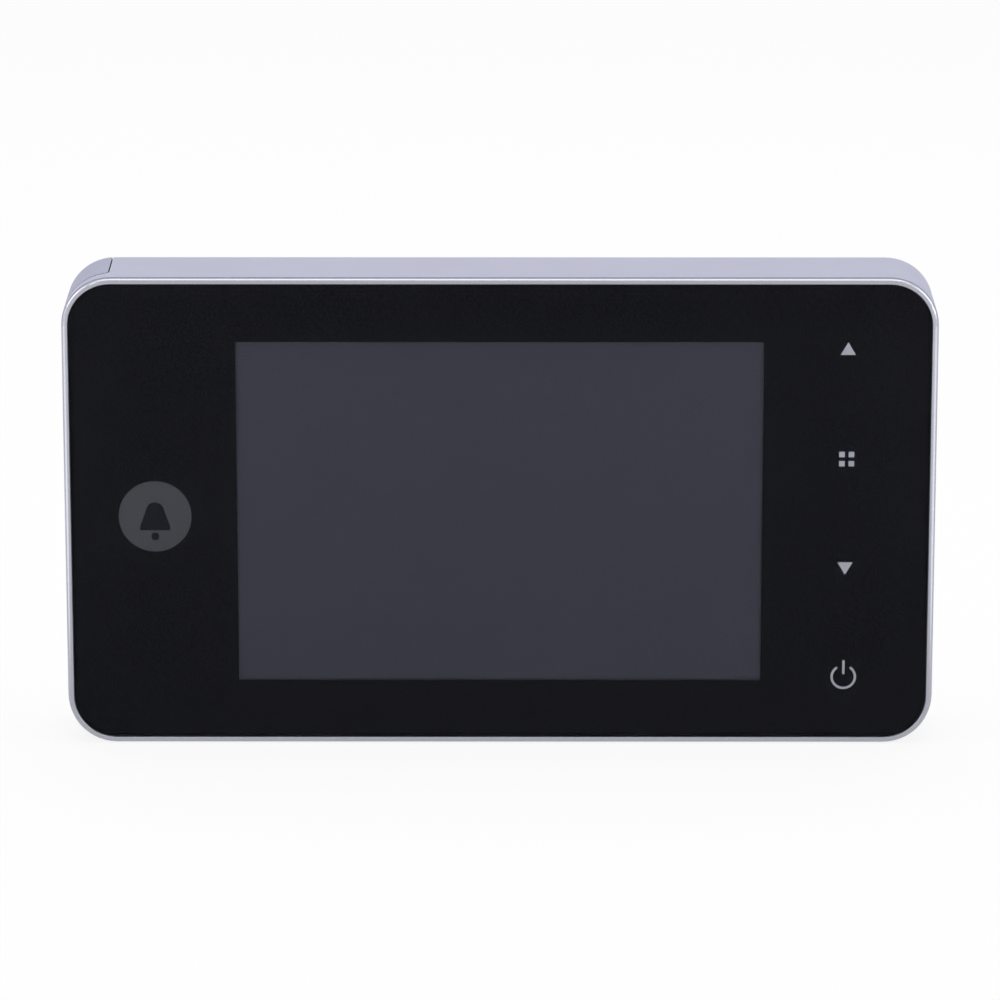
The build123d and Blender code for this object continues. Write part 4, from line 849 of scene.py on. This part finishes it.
class MONITOR_OT_stage(bpy.types.Operator):
    """White floor, soft light and the camera"""

    bl_idname = "monitor.stage"
    bl_label = "Stage"

    def execute(self, context):
        settings = context.scene.monitor_stage
        make_floor(settings)
        make_world(context.scene, settings)
        make_lamp("key_lamp", settings.key_place, LAMP_TARGET, settings.key_power, settings.key_size)
        for name, side in (("left", -1), ("right", 1)):
            x, y, z = settings.side_place
            make_lamp(name + "_lamp", (side * x, y, z), LAMP_TARGET, settings.side_power, settings.side_size)
            # These two give the ring and the edges their highlights, and light nothing else
            x, y, z = settings.rim_place
            rim = make_lamp(name + "_rim", (side * x, y, z), LAMP_TARGET, settings.rim_power, settings.rim_size)
            x, y, z = settings.card_place
            place, above = (side * x, y, z), (side * x, y, z + 1.0)
            card = make_lamp(name + "_card", place, above, settings.card_power, settings.card_size)
            rim.visible_diffuse = card.visible_diffuse = False
        make_camera(context.scene, settings)
        context.scene.view_settings.view_transform = "Standard"
        return {"FINISHED"}


# Stage


def seen_directly(tree):
    """Share that is 1 for what the camera sees, plainly, in a mirror or through glass."""
    path = add_node(tree, "ShaderNodeLightPath")
    seen = add_node(tree, "ShaderNodeMath", {"operation": "MAXIMUM"}, None,
                    {0: path.outputs["Is Camera Ray"], 1: path.outputs["Is Glossy Ray"]})
    return add_node(tree, "ShaderNodeMath", {"operation": "MAXIMUM"}, None,
                    {0: seen.outputs[0], 1: path.outputs["Is Transmission Ray"]}).outputs[0]


def make_floor(settings):
    """Matt white floor that stays white to the camera and keeps the object's shadow."""
    half = settings.floor_size / 2
    build = bmesh.new()
    corners = ((-half, -half), (half, -half), (half, half), (-half, half))
    build.faces.new([build.verts.new((x, y, -FLOOR_DROP)) for x, y in corners])
    mesh = bpy.data.meshes.new("floor")
    build.to_mesh(mesh)
    build.free()
    floor = bpy.data.objects.new("floor", mesh)
    bpy.context.scene.collection.objects.link(floor)
    material, tree, _ = new_material("white_floor")
    matt = add_node(tree, "ShaderNodeBsdfDiffuse", None, {"Color": (0.98, 0.98, 0.98, 1.0)})
    white = add_node(tree, "ShaderNodeEmission", None, {"Strength": 1.0})
    share = add_node(tree, "ShaderNodeMath", {"operation": "MULTIPLY"}, {1: 1 - settings.shadow_share},
                     {0: seen_directly(tree)})
    close_material(tree, add_node(tree, "ShaderNodeMixShader", None, None,
                                  {0: share.outputs[0], 1: matt.outputs[0], 2: white.outputs[0]}))
    mesh.materials.append(material)


def make_world(scene, settings):
    """Even light from all round, seen as plain white."""
    world = bpy.data.worlds.new("studio")
    world.use_nodes = True
    tree = world.node_tree
    tree.nodes.clear()
    light = add_node(tree, "ShaderNodeBackground", None, {"Color": WHITE, "Strength": settings.ambient})
    white = add_node(tree, "ShaderNodeBackground", None, {"Color": WHITE, "Strength": 1.0})
    mixed = add_node(tree, "ShaderNodeMixShader", None, None,
                     {0: seen_directly(tree), 1: light.outputs[0], 2: white.outputs[0]})
    add_node(tree, "ShaderNodeOutputWorld", None, None, {"Surface": mixed.outputs[0]})
    scene.world = world


def aim(thing, place, target):
    """Puts a lamp or camera at a place and turns it to look at a target."""
    thing.location = place
    thing.rotation_mode = "QUATERNION"
    thing.rotation_quaternion = (Vector(target) - Vector(place)).to_track_quat("-Z", "Y")


def make_lamp(name, place, target, power, size):
    """Large soft lamp that looks at a target."""
    light = bpy.data.lights.new(name, "AREA")
    light.energy, light.size = power, size
    lamp = bpy.data.objects.new(name, light)
    bpy.context.scene.collection.objects.link(lamp)
    aim(lamp, place, target)
    return lamp


def make_camera(scene, settings):
    """Camera at the photograph's viewing angle."""
    middle = Vector((0.0, CAD_LOW.y, (CAD_LOW.z + CAD_HIGH.z) / 2))
    level, drop = math.cos(settings.elevation), math.sin(settings.elevation)
    look = Vector((math.sin(settings.turn) * level, math.cos(settings.turn) * level, -drop))
    data = bpy.data.cameras.new("camera")
    data.lens, data.sensor_width, data.shift_y = settings.lens, SENSOR_WIDTH_MM, settings.shift
    data.clip_start, data.clip_end = 0.01, 20.0
    camera = bpy.data.objects.new("camera", data)
    scene.collection.objects.link(camera)
    aim(camera, middle - settings.distance * look, middle)
    scene.camera = camera


class MONITOR_PT_panel(bpy.types.Panel):
    """Steps that dress the monitor and set its stage"""

    bl_label = "Door Monitor"
    bl_idname = "MONITOR_PT_panel"
    bl_space_type = "VIEW_3D"
    bl_region_type = "UI"
    bl_category = "Door Monitor"

    def draw(self, context):
        for operator in STEPS:
            self.layout.operator(operator.bl_idname)


STEPS = (
    MONITOR_OT_casing, MONITOR_OT_front, MONITOR_OT_display, MONITOR_OT_mouldings, MONITOR_OT_electronics,
    MONITOR_OT_bracket, MONITOR_OT_screws, MONITOR_OT_battery, MONITOR_OT_stage,
)
GROUPS = {
    "monitor_casing": CasingSettings, "monitor_front": FrontSettings, "monitor_screws": ScrewSettings,
    "monitor_battery": BatterySettings, "monitor_stage": StageSettings,
}
CLASSES = (*GROUPS.values(), *STEPS, MONITOR_PT_panel)


def register():
    """Registers the settings, the steps and the panel."""
    for cls in CLASSES:
        bpy.utils.register_class(cls)
    for name, group in GROUPS.items():
        setattr(bpy.types.Scene, name, bpy.props.PointerProperty(type=group))


def unregister():
    """Takes them out again."""
    for name in GROUPS:
        delattr(bpy.types.Scene, name)
    for cls in reversed(CLASSES):
        bpy.utils.unregister_class(cls)


def main():
    """Runs the steps in order."""
    register()
    for step in STEPS:
        group, name = step.bl_idname.split(".")
        getattr(getattr(bpy.ops, group), name)()


if __name__ == "__main__":
    main()
